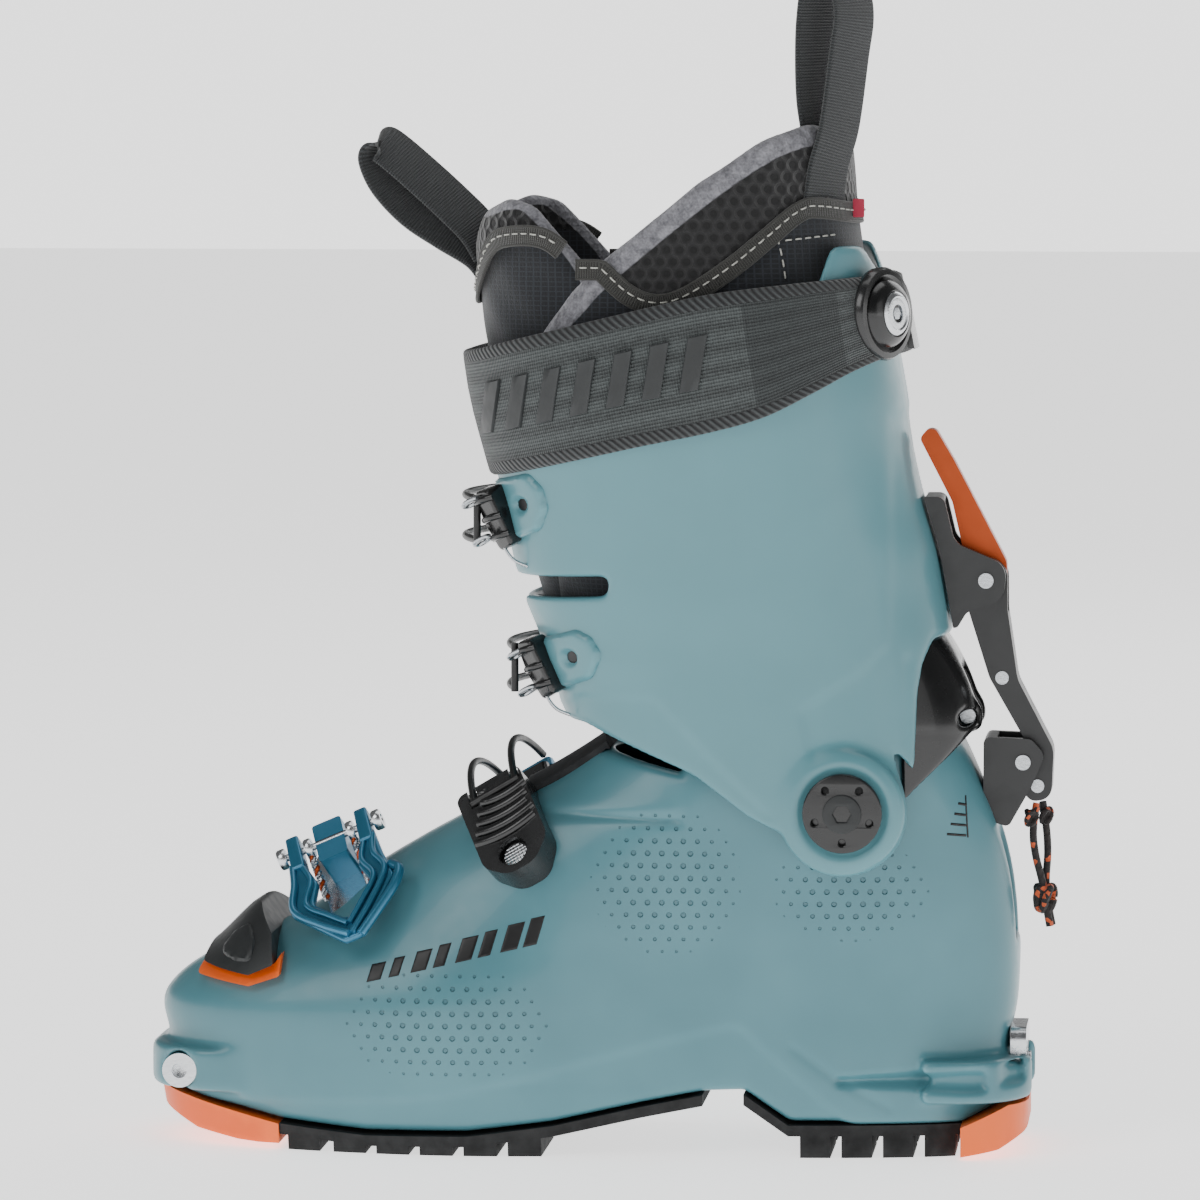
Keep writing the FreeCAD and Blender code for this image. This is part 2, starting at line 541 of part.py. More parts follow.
def pull_loop(label, root, heading, spread, length):
    """A webbing loop: a flat racetrack of tape, wound in a plane turned out from the side view."""
    turn = 0.57
    face = spread * math.sqrt(1 - turn ** 2) - Vector(0, turn, 0)
    half = 6.0
    thick = SIZE["webbing_thickness"]
    outer = outline([(0.0, -2.6, 0), (length * 0.45, -half, 12), (length, -half, half - 0.05),
                     (length, half, half - 0.05), (length * 0.45, half, 12), (0.0, 2.6, 0)])
    inner = outline([(-1.0, -2.5 + thick, 0), (length * 0.45, thick - half, 12),
                     (length - thick, thick - half, half - thick - 0.05),
                     (length - thick, half - thick, half - thick - 0.05),
                     (length * 0.45, half - thick, 12), (-1.0, 2.5 - thick, 0)])
    tape = Part.Face(Part.Wire([piece.toShape() for piece in outer])).extrude(
        Vector(0, 0, SIZE["webbing_width"]))
    opening = Part.Face(Part.Wire([piece.toShape() for piece in inner])).extrude(
        Vector(0, 0, SIZE["webbing_width"]))
    tape = tape.cut(opening)
    tape.translate(Vector(0, 0, -SIZE["webbing_width"] / 2.0))
    tape.Placement = frame(root, heading, face).multiply(tape.Placement)
    return feature(label, Part.Solid(tape.Solids[0]))


heel_heading = Vector(0.11, 0, 0.994).normalize()
pull_loop("heel_pull_loop", Vector(73.5, -26.0, 327.7), heel_heading, Vector(0.994, 0, -0.11).normalize(), 42.5)
tongue_heading = Vector(-0.745, 0, 0.667)
pull_loop("tongue_pull_loop", Vector(-38.0, 0.0, 293.5), tongue_heading, Vector(0.667, 0, 0.745), 38.0)

# ---------------------------------------------------------------- power strap

STRAP_IN = 0.4
strap_thick = SIZE["strap_thickness"]
strap_outer = slices(CUFF_ROWS, -STRAP_IN - strap_thick, -STRAP_IN - strap_thick, -STRAP_IN - strap_thick)
strap_inner = slices(CUFF_ROWS, -STRAP_IN, -STRAP_IN, -STRAP_IN)
strap_form = side_prism([(-55.0, 250.0, 0), (-39.0, 253.0, 40), (7.0, 265.5, 60), (45.0, 273.5, 60),
                         (110.0, 280.5, 0), (110.0, 263.0, 0), (84.5, 250.4, 20), (57.0, 235.0, 60),
                         (19.5, 226.1, 90), (-33.5, 213.2, 40), (-55.0, 209.0, 0)])
strap_high = strap_outer.common(Part.makeBox(300, 300, 100, Vector(-150, -150, 200)))
feature("power_strap", strap_high.cut(strap_inner).common(strap_form))
patch_outer = slices(CUFF_ROWS[6:], -STRAP_IN - strap_thick - 2.2, -STRAP_IN - strap_thick - 2.2,
                     -STRAP_IN - strap_thick - 2.2)
patch_form = side_prism([(80.0, 259.0, 0), (110.0, 253.0, 0), (110.0, 276.0, 0), (80.0, 281.0, 0)], -13.0, 24.0)
patch = patch_outer.cut(strap_outer).common(patch_form)
feature("strap_patch", max(patch.Solids, key=lambda solid: solid.Volume))
button_normal = Vector(0.90, -0.43, 0.05).normalize()
button_at = Vector(90.8, -30.5, 266.5)
keep(primitive("Cylinder", "button", along(button_normal, button_at + button_normal * 5.2),
               Radius="Sizes.button_radius", Height="Sizes.button_height"), "strap_button")

# ---------------------------------------------------------------- walk mechanism

arm_side = [(118.0, 188.5, 6.4), (131.0, 188.5, 6.4), (131.2, 172.0, 10), (134.5, 150.0, 12),
            (146.0, 128.0, 8), (145.4, 112.0, 4.4), (136.9, 111.0, 3.5), (136.8, 131.0, 6),
            (125.6, 150.5, 10), (118.0, 174.5, 5)]
arm_plate = plate("arm_plate", [outline(arm_side)], "2 * Sizes.arm_half_width", Placement())
arm_slot = primitive("Box", "arm_slot", Placement(Vector(110.0, -SIZE["arm_slot_half_width"], 171.0),
                     Rotation()), Length="40", Width="2 * Sizes.arm_slot_half_width", Height="40")
catch_notch = primitive("Cylinder", "catch_notch", along(Vector(0, 1, 0), Vector(SIZE["catch_x"], -20,
                        SIZE["catch_z"])), Radius="Sizes.pin_radius + 0.4", Height="40")
axle_hole = primitive("Cylinder", "axle_hole", along(Vector(0, 1, 0), ARM_PIVOT - Vector(0, 20, 0)),
                      Radius="Sizes.pin_radius + Sizes.pin_clearance", Height="40")
RIVET_PLACES = [(129.6, 150.5), (141.0, 116.2)]
rivet_holes = [primitive("Cylinder", "rivet_hole", along(Vector(0, 1, 0), Vector(x, -20, z)),
                         Radius="Sizes.pin_radius - 0.28", Height="40") for x, z in RIVET_PLACES]
rivets = [primitive("Cylinder", "arm_rivet", along(Vector(0, 1, 0), Vector(x, -SIZE["arm_half_width"] - 0.6, z)),
                    Radius="Sizes.pin_radius - 0.3", Height="2 * Sizes.arm_half_width + 1.2")
          for x, z in RIVET_PLACES]
keep(join("MultiFuse", "rivet_pair", rivets[0], [rivets[1]]), "arm_rivets")
arm_voids = join("MultiFuse", "arm_voids", arm_slot, [catch_notch, axle_hole] + rivet_holes)
keep(join("Cut", "arm_cut", arm_plate, [arm_voids]), "lock_arm")

lever_side = [(118.0, 186.0, 4), (113.4, 206.0, 8), (103.0, 226.0, 2), (107.0, 230.8, 2.5),
              (114.0, 219.0, 8), (130.8, 187.0, 6), (130.6, 175.6, 5.5), (118.4, 175.6, 5.5)]
walk_plate = plate("walk_plate", [outline(lever_side)], "2 * Sizes.lever_half_width", Placement())
lever_hole = primitive("Cylinder", "lever_hole", along(Vector(0, 1, 0), ARM_PIVOT - Vector(0, 20, 0)),
                       Radius="Sizes.pin_radius + Sizes.pin_clearance", Height="40")
keep(join("Cut", "walk_cut", walk_plate, [lever_hole]), "walk_lever")

bracket_side = [(103.5, 208.0, 2), (111.0, 208.0, 3), (114.5, 193.5, 6), (131.0, 186.5, 6),
                (130.0, 175.5, 6), (118.5, 171.5, 3), (115.5, 166.5, 1.5), (106.0, 167.0, 1),
                (106.0, 190.0, 0)]
upper_plate = plate("upper_plate", [outline(bracket_side)],
                    "2 * (Sizes.bracket_inner_y + Sizes.bracket_plate)", Placement())
upper_gap = primitive("Box", "upper_gap", Placement(Vector(110.8, -SIZE["bracket_inner_y"], 150.0),
                      Rotation()), Length="40", Width="2 * Sizes.bracket_inner_y", Height="80")
upper_cut = join("Cut", "upper_cut", upper_plate, [upper_gap])
doc.recompute()
upper_shape = upper_cut.Shape.cut([cuff_outer, Part.makeCylinder(SIZE["pin_radius"] + 0.02, 40,
                                   ARM_PIVOT - Vector(0, 20, 0), Vector(0, 1, 0))])
upper_shape = max(upper_shape.Solids, key=lambda solid: solid.Volume)
feature("upper_bracket", upper_shape)
keep(primitive("Cylinder", "axle", along(Vector(0, 1, 0), ARM_PIVOT - Vector(0, SIZE["bracket_inner_y"]
               + SIZE["bracket_plate"] + 1.0, 0)), Radius="Sizes.pin_radius",
               Height="2 * (Sizes.bracket_inner_y + Sizes.bracket_plate + 1)"), "lock_axle")

spine_side = [(104.5, 133.0, 0), (107.5, 150.0, 6), (104.5, 158.6, 3), (110.0, 155.5, 6),
              (122.5, 143.5, 6), (125.0, 136.0, 5), (116.0, 133.0, 8), (110.0, 122.0, 6), (104.0, 118.0, 0)]
spine_plate = plate("spine_plate", [outline(spine_side), ring(119.0, 138.8, SIZE["pin_radius"] + 0.02)],
                    "2 * (Sizes.bracket_inner_y + Sizes.bracket_plate)", Placement())
doc.recompute()
spine_shape = spine_plate.Shape.cut([shell_outer.common(side_form)])
feature("rear_spine", max(spine_shape.Solids, key=lambda solid: solid.Volume))
keep(primitive("Cylinder", "spine_pin", along(Vector(0, 1, 0), Vector(119.0, -SIZE["bracket_inner_y"]
               - SIZE["bracket_plate"] - 1.0, 138.8)), Radius="Sizes.pin_radius",
               Height="2 * (Sizes.bracket_inner_y + Sizes.bracket_plate + 1)"), "spine_bolt")

catch_side = [(124.0, 132.0, 2), (139.0, 131.5, 3), (143.5, 126.5, 4), (139.0, 116.0, 4),
              (132.0, 103.5, 2), (124.0, 106.0, 0)]
catch_plate = plate("catch_plate", [outline(catch_side), ring(SIZE["catch_x"], SIZE["catch_z"],
                    SIZE["pin_radius"] + 0.02)], "2 * (Sizes.bracket_inner_y + Sizes.bracket_plate)",
                    Placement())
catch_gap = primitive("Box", "catch_gap", Placement(Vector(128.3, -SIZE["bracket_inner_y"], 90.0),
                      Rotation()), Length="40", Width="2 * Sizes.bracket_inner_y", Height="60")
catch_cut = join("Cut", "catch_cut", catch_plate, [catch_gap])
doc.recompute()
catch_clear = [shell_solid, spine_plate.Shape]
catch_shape = catch_cut.Shape.cut(catch_clear)
catch_parts = [solid for solid in catch_shape.Solids if solid.Volume > 50.0]
feature("lower_bracket", Part.makeCompound(catch_parts) if len(catch_parts) > 1 else catch_parts[0])
stub_pair = [primitive("Cylinder", "catch_stub", along(Vector(0, side, 0), Vector(SIZE["catch_x"],
             side * SIZE["bracket_inner_y"], SIZE["catch_z"])), Radius="Sizes.pin_radius",
             Height="Sizes.bracket_plate + 1") for side in (-1, 1)]
keep(join("MultiFuse", "catch_stubs", stub_pair[0], [stub_pair[1]]), "catch_pins")

# The pull cord: two strands from the arm's end down through a shared knot to their short tails.
CORD_FRONT = [(140.6, -1.6, 110.2), (139.2, -2.6, 102.5), (140.2, -2.4, 93.5), (142.6, -1.4, 85.0),
              (143.9, -1.4, 76.5), (145.0, -1.6, 70.8)]
CORD_REAR = [(142.4, 1.6, 110.2), (143.6, 2.6, 102.5), (144.2, 2.4, 93.5), (143.4, 1.4, 85.0),
             (144.4, 1.4, 76.5), (145.6, 1.7, 70.8)]
feature("pull_cord_front", tube(CORD_FRONT, SIZE["cord_radius"]))
feature("pull_cord_rear", tube(CORD_REAR, SIZE["cord_radius"]))
keep(primitive("Cylinder", "knot", along(Vector(0.1, 0, -1), Vector(143.2, 0, 83.8)),
               Radius="Sizes.knot_radius", Height="Sizes.knot_length"), "cord_knot")

# ---------------------------------------------------------------- buckles


def lever_frame(label, place, half, length):
    """A flat buckle lever with a window, hinged at its local origin."""
    loops = [outline([(-half, -4.5, 2), (half, -4.5, 2), (half, length - 8, 6), (half * 0.5, length, 4),
                      (-half * 0.5, length, 4), (-half, length - 8, 6)]),
             outline([(-half + 4, 9.0, 2), (half - 4, 9.0, 2), (half - 4, length - 11, 3),
                      (-half + 4, length - 11, 3)])]
    return keep(plate(label + "_plate", loops, "Sizes.lever_plate", place, "XY_Plane"), label)


def bail_shape(points, spread, direction, radius):
    """Two bowed wires and the bar that hooks the ladder."""
    wires = []
    for offset in (-spread, spread):
        shift = direction * offset
        wires.append(bow([tuple(Vector(*point) + shift) for point in points], radius))
    start = Vector(*points[-1]) - direction * (spread + radius)
    hook_bar = Part.makeCylinder(radius, 2 * (spread + radius), start, direction)
    return wires[0].fuse([wires[1], hook_bar]).removeSplitter()


def cuff_surface(height, x, side, proud=0.0):
    """A point on the cuff's outside at a height, by interpolating its slices."""
    for lower, upper in zip(CUFF_ROWS, CUFF_ROWS[1:]):
        if lower[0] <= height <= upper[0]:
            share = (height - lower[0]) / (upper[0] - lower[0])
            row = [a + (b - a) * share for a, b in zip(lower, upper)]
    middle = (row[1] + row[2]) / 2.0
    reach = (row[2] - row[1]) / 2.0
    ratio = min(1.0, abs(x - middle) / reach)
    return side * (row[3] * (1 - ratio ** row[5]) ** (1 / row[5]) + proud)


CUFF_BUCKLES = [("cuff_upper", 201.0), ("cuff_lower", 154.0)]
LADDER_SIZE = (13.0, 7.0, 20.0)
HINGE_X = 8.0
LEVER_LENGTH = 46.0
LEVER_SWEEP = 5.4
for label, height in CUFF_BUCKLES:
    # Ladder on the inner front edge, turned to the cuff's wall.
    hook_x = -16.0 if label == "cuff_lower" else -27.5
    wall_y = cuff_surface(height, hook_x + 7.0, -1)
    ladder = Part.makeBox(LADDER_SIZE[0], LADDER_SIZE[1], LADDER_SIZE[2],
                          Vector(-LADDER_SIZE[0] / 2, 0.3, -LADDER_SIZE[2] / 2))
    slant = Rotation(Vector(0, 0, 1), 180.0 - 48.0)
    ladder.Placement = Placement(Vector(hook_x + 4.0, wall_y + 5.0, height + 1.0), slant)
    ladder = ladder.cut(cuff_outer)
    feature(label + "_ladder", max(ladder.Solids, key=lambda solid: solid.Volume))
    # Lever base and lever on the outer side.
    base_y = cuff_surface(height, HINGE_X, 1)
    base = Part.makeBox(14.0, 12.0, 16.0, Vector(HINGE_X - 8.0, base_y - 5.0, height - 8.0))
    base = base.cut([cuff_outer, Part.makeBox(40, 20, 40, Vector(HINGE_X - 20, base_y + 3.6, height - 20)),
                     Part.makeCylinder(LEVER_SWEEP, 40.0, Vector(HINGE_X, base_y + 7.0, height - 20.0))])
    feature(label + "_lever_base", max(base.Solids, key=lambda solid: solid.Volume))
    far_y = cuff_surface(height, HINGE_X + LEVER_LENGTH, 1)
    heading = Vector(LEVER_LENGTH, far_y - base_y, 0).normalize()
    lever_frame(label + "_lever", frame(Vector(HINGE_X, base_y + 7.0, height), Vector(0, 0, -1), heading),
                9.0, LEVER_LENGTH)
    wire = [(HINGE_X - 7.0, base_y + 6.0, height), (hook_x - 4.5, base_y - 19.0, height),
            (hook_x - 7.5, wall_y + 4.0, height)]
    feature(label + "_bail", bail_shape(wire, 6.5, Vector(0, 0, 1), SIZE["wire_radius"]))

# Instep: ribbed ladder on the inner side, wires over the crest, lever on the outer side.
CREST = Vector(0.86, 0, 0.51)
instep_down = Vector(0.10, -0.62, -0.78).normalize()
instep_side = instep_down - CREST * instep_down.dot(CREST)
instep_side.normalize()
ladder_place = frame(Vector(-22.0, -33.0, 99.5), CREST, instep_side)
instep_ladder = plate("instep_plate", [outline([(-11.5, -22.0, 3), (11.5, -22.0, 3), (11.5, 8.0, 7),
                      (5.0, 15.0, 8), (-5.0, 15.0, 8), (-11.5, 8.0, 7)])], "3 * Sizes.lever_plate",
                      ladder_place, "XY_Plane")

ladder_out = CREST.cross(instep_side) * -1.0
rivet_seat = Vector(-19.5, -37.0, 93.5) + ladder_out * 4.0
keep(primitive("Cylinder", "instep_stud", along(ladder_out, rivet_seat),
               Radius="Sizes.rivet_radius", Height="Sizes.lever_plate"), "instep_rivet")
rivet_room = Part.makeCylinder(SIZE["rivet_radius"] + 0.03, 20.0, rivet_seat - ladder_out * 0.03, ladder_out)
outer_down = Vector(0.08, 0.45, -0.89).normalize()
outer_side = outer_down - CREST * outer_down.dot(CREST)
outer_side.normalize()
outer_normal = CREST.cross(outer_side)
instep_hinge = Vector(-24.0, 33.0, 111.0)
lever_frame("instep_lever", frame(instep_hinge, CREST, outer_side), 9.0, 42.0)
lug_block = plate("instep_lug", [outline([(-8.0, -7.0, 2), (8.0, -7.0, 2), (8.0, 9.0, 2), (-8.0, 9.0, 2)])],
                  "4 * Sizes.lever_plate", frame(instep_hinge - outer_normal * 12.0, CREST, outer_side),
                  "XY_Plane")
doc.recompute()
lug_shape = lug_block.Shape.cut([shell_solid, Part.makeCylinder(LEVER_SWEEP, 60.0, instep_hinge - CREST * 30.0,
                                                                 CREST)])
feature("instep_lever_base", max(lug_shape.Solids, key=lambda solid: solid.Volume))
instep_wire = [instep_hinge - outer_side * 6.8 + outer_normal * 0.5, Vector(-33.0, 2.0, 124.5),
               Vector(-29.5, -27.5, 115.0)]
wire_points = [tuple(point) for point in instep_wire]
feature("instep_bail", bail_shape(wire_points, 7.5, CREST, SIZE["wire_radius"]))
ladder_shape = instep_ladder.Shape.cut([shell_solid, rivet_room, bail_shape(wire_points, 7.5, CREST,
                                                                            SIZE["wire_radius"] + 0.5)])
ladder_solid = max(ladder_shape.Solids, key=lambda solid: solid.Volume)
feature("instep_ladder", ladder_solid)

# Toe buckle: a windowed lever over the forefoot, on two eyelet pairs above a fixed block.
TOE_AXIS = Vector(0.917, 0, 0.398)
toe_down = Vector(0.274, -0.724, -0.633)
toe_out = Vector(-0.288, -0.690, 0.664)
toe_hinge = Vector(-84.0, -14.0, 97.0)
toe_place = frame(toe_hinge, TOE_AXIS * -1.0, toe_down)
toe_loops = [outline([(-14.5, -5.0, 1.5), (-9.5, -5.0, 1.5), (-9.5, 7.0, 2), (-7.5, 16.0, 3), (-10.5, 24.0, 3),
                      (0.0, 36.0, 3), (10.5, 24.0, 3), (7.5, 16.0, 3), (9.5, 7.0, 2), (9.5, -5.0, 1.5),
                      (14.5, -5.0, 1.5), (15.5, 14.0, 6), (18.0, 25.0, 3), (3.0, 44.0, 2),
                      (-3.0, 44.0, 2), (-18.0, 25.0, 3), (-15.5, 14.0, 6)])]
toe_plate = plate("toe_lever_plate", toe_loops, "1.3 * Sizes.lever_plate", toe_place, "XY_Plane")
toe_hole = primitive("Cylinder", "toe_hole", along(TOE_AXIS, toe_hinge - TOE_AXIS * 20.0),
                     Radius="Sizes.wire_radius + Sizes.pin_clearance", Height="40")
keep(join("Cut", "toe_lever_cut", toe_plate, [toe_hole]), "toe_lever")
keep(primitive("Cylinder", "toe_pin", along(TOE_AXIS, toe_hinge - TOE_AXIS * 16.5),
               Radius="Sizes.wire_radius", Height="33"), "toe_axle")
block_plate = plate("toe_block_plate", [outline([(-5.0, -7.5, 1), (5.0, -7.5, 1), (5.0, 8.0, 1), (-5.0, 8.0, 1)])],
                    "6 * Sizes.lever_plate", frame(toe_hinge - toe_out * 12.5, TOE_AXIS * -1.0, toe_down),
                    "XY_Plane")
base_plate = plate("toe_base_plate", [outline([(-9.0, -6.0, 2), (9.0, -6.0, 2), (8.0, 24.0, 3), (0.0, 34.0, 4),
                   (-8.0, 24.0, 3)])], "2 * Sizes.lever_plate",
                   frame(toe_hinge - toe_out * 15.5, TOE_AXIS * -1.0, toe_down), "XY_Plane")
doc.recompute()
pin_room = Part.makeCylinder(SIZE["wire_radius"] + 0.02, 40.0, toe_hinge - TOE_AXIS * 20.0, TOE_AXIS)
block_shape = block_plate.Shape.cut([shell_solid, pin_room, base_plate.Shape])
feature("toe_block", max(block_shape.Solids, key=lambda solid: solid.Volume))
base_shape = base_plate.Shape.cut([shell_solid])
feature("toe_base", max(base_shape.Solids, key=lambda solid: solid.Volume))
strands = []
for side in (-1, 1):
    eye = toe_hinge + TOE_AXIS * (side * 7.2)
    collar = Part.makeCylinder(3.0, 1.8, eye - TOE_AXIS * 0.9, TOE_AXIS).cut(pin_room)
    foot = eye + toe_down * 17.0 - toe_out * 8.0
    heading = foot - eye
    strand = Part.makeCylinder(SIZE["wire_radius"], heading.Length - 2.2, eye + heading.normalize() * 2.2, heading)
    strands.append(collar.fuse(strand))
feature("toe_cable", Part.makeCompound([strands[0], strands[1]]))

# Toe cap badge and its trim, saddles over the toe box.
def saddle(rows, side_corners):
    """A shell-hugging saddle: cross sections (x, half width, base z, top z) cut by a side outline."""
    wires = []
    for x, half, base, top in rows:
        points = []
        for index in range(24):
            angle = 2 * math.pi * index / 24
            points.append(Vector(x, half * math.cos(angle), base + (top - base) * math.sin(angle)))
        curve = Part.BSplineCurve()
        curve.interpolate(points, PeriodicFlag=True)
        wires.append(Part.Wire([curve.toShape()]))
    solid = Part.makeLoft(wires, True, False).common(side_prism(side_corners)).cut(shell_outer)
    largest = max(piece.Volume for piece in solid.Solids)
    halves = [piece for piece in solid.Solids if piece.Volume > 0.5 * largest]
    return halves[0] if len(halves) == 1 else Part.makeCompound(halves)


badge_low = [(-124.5, 58.5, 1), (-107.0, 56.5, 2), (-99.0, 60.0, 1)]
badge = saddle([(-130.0, 30.0, 40.0, 60.0), (-122.0, 36.0, 40.0, 64.5), (-108.0, 41.5, 42.0, 77.5),
                (-96.0, 45.0, 44.0, 79.5)],
               badge_low + [(-100.5, 69.0, 1), (-107.0, 77.5, 2), (-116.0, 72.0, 6), (-123.0, 65.0, 3)])
feature("toe_badge", badge)
trim_low = [(x + shift, z - 3.6, r) for (x, z, r), shift in zip(badge_low, (-1.5, 0.0, 2.0))]
trim = saddle([(-130.0, 32.0, 38.0, 58.0), (-122.0, 37.5, 38.0, 62.0), (-108.0, 42.6, 38.0, 69.0),
               (-90.0, 47.0, 40.0, 78.0)],
              trim_low + [(-97.0, 63.0, 0)] + [(x, z - 0.03, r) for x, z, r in reversed(badge_low)])
feature("toe_badge_trim", trim)

# Soft strip over the throat, between the shell's front edge and the cuff.
throat_rows = [row for row in SHELL_ROWS if 100.0 < row[0] < 150.0]
throat_form = side_prism([(-20.0, 110.0, 0), (0.0, 123.0, 0), (6.0, 127.8, 0), (3.0, 133.0, 2), (-22.0, 119.0, 2)],
                         -17.0, 17.0)
throat = slices([(row[0] + 2.2,) + row[1:] for row in throat_rows]).common(throat_form)
throat = throat.cut([shell_solid, ladder_solid])
feature("throat_strip", max(throat.Solids, key=lambda solid: solid.Volume))

for item in doc.Objects:
    if "Invalid" in item.State or "Error" in item.State:
        raise RuntimeError("failed object: " + item.Label)
doc.recompute()
os.makedirs("parts", exist_ok=True)
for obj in nodes:
    shape = obj.Shape
    if shape.isNull() or not shape.isValid() or shape.Volume <= 0:
        raise RuntimeError("bad shape: " + obj.Label)
    print(obj.Label, len(shape.Solids), round(shape.Volume))
    shape.exportStep("parts/" + obj.Label + ".step")
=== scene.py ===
import math
import bmesh
import bpy
import numpy as np
import openvdb
from mathutils import Matrix, Vector
from mathutils.bvhtree import BVHTree


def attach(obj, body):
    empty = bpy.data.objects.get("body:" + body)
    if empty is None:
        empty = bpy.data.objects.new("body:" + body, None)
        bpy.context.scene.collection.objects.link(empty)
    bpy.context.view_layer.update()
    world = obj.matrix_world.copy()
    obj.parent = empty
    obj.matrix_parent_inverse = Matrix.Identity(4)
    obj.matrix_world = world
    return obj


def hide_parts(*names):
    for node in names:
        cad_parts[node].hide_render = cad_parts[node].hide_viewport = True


# A right ski touring boot. Shapes are worked out in millimetres and stored in metres.
# +X points to the heel, +Y to the outer side, +Z up; the inner (medial) side faces the camera.

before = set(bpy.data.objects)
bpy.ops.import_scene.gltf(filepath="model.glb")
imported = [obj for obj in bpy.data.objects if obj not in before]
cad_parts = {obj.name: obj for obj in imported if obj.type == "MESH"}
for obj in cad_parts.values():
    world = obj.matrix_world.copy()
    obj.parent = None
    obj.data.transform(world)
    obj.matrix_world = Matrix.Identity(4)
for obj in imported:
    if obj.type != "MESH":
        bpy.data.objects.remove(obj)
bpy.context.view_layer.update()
MM = 0.001
PER_METRE = 1000.0
X, Y, Z = Vector((1, 0, 0)), Vector((0, 1, 0)), Vector((0, 0, 1))


# ------------------------------------------------------------------ camera, light and floor

TARGET = Vector((1.0, 0.0, 173.4)) * MM
CAMERA_AZIMUTH = math.radians(6.0)
CAMERA_ELEVATION = math.radians(5.0)
CAMERA_DISTANCE = 2.0
SENSOR_MM = 36.0
LENS_MM = 188.0
camera_data = bpy.data.cameras.new("camera")
camera_data.sensor_width = SENSOR_MM
camera_data.lens = LENS_MM
camera = bpy.data.objects.new("camera", camera_data)
bpy.context.collection.objects.link(camera)
offset = Vector((math.sin(CAMERA_AZIMUTH) * math.cos(CAMERA_ELEVATION),
                 -math.cos(CAMERA_AZIMUTH) * math.cos(CAMERA_ELEVATION), math.sin(CAMERA_ELEVATION)))
camera.location = TARGET + offset * CAMERA_DISTANCE
camera.rotation_euler = (-offset).to_track_quat("-Z", "Y").to_euler()
bpy.context.scene.camera = camera


def area_light(name, place, size, power):
    """A square lamp that faces the boot's middle."""
    data = bpy.data.lights.new(name, "AREA")
    data.size = size
    data.energy = power
    lamp = bpy.data.objects.new(name, data)
    lamp.location = place
    lamp.rotation_euler = (Vector(place) - TARGET).to_track_quat("Z", "Y").to_euler()
    bpy.context.collection.objects.link(lamp)


area_light("key_light", (-1.2, -1.5, 1.5), 1.1, 15.0)
area_light("fill_light", (1.6, -1.4, 0.8), 1.2, 3.5)
area_light("top_light", (0.1, 0.2, 1.9), 1.3, 9.0)
area_light("rim_light", (0.9, 1.5, 1.0), 1.0, 7.0)
HORIZON_STRENGTH = 2.1
OVERHEAD_STRENGTH = 0.16
HORIZON_UP_TO = 0.08
OVERHEAD_FROM = 0.13
WHITE = (1.0, 1.0, 1.0, 1.0)
world = bpy.data.worlds.new("studio")
world.use_nodes = True
world.node_tree.nodes["Background"].inputs["Color"].default_value = WHITE
# The sky is dim overhead and bright round the horizon, so the boot stands in front of white from every side.
direction = world.node_tree.nodes.new("ShaderNodeTexCoord")
parts = world.node_tree.nodes.new("ShaderNodeSeparateXYZ")
glow = world.node_tree.nodes.new("ShaderNodeMapRange")
for key, value in (("From Min", HORIZON_UP_TO), ("From Max", OVERHEAD_FROM), ("To Min", HORIZON_STRENGTH),
                   ("To Max", OVERHEAD_STRENGTH)):
    glow.inputs[key].default_value = value
world.node_tree.links.new(direction.outputs["Generated"], parts.inputs[0])
world.node_tree.links.new(parts.outputs["Z"], glow.inputs["Value"])
world.node_tree.links.new(glow.outputs[0], world.node_tree.nodes["Background"].inputs["Strength"])
bpy.context.scene.world = world


# ------------------------------------------------------------------ materials

def tint(code):
    """A linear colour from a six-digit web colour."""
    channels = [int(code[i:i + 2], 16) / 255.0 for i in (0, 2, 4)]
    linear = [c / 12.92 if c <= 0.04045 else ((c + 0.055) / 1.055) ** 2.4 for c in channels]
    return (*linear, 1.0)


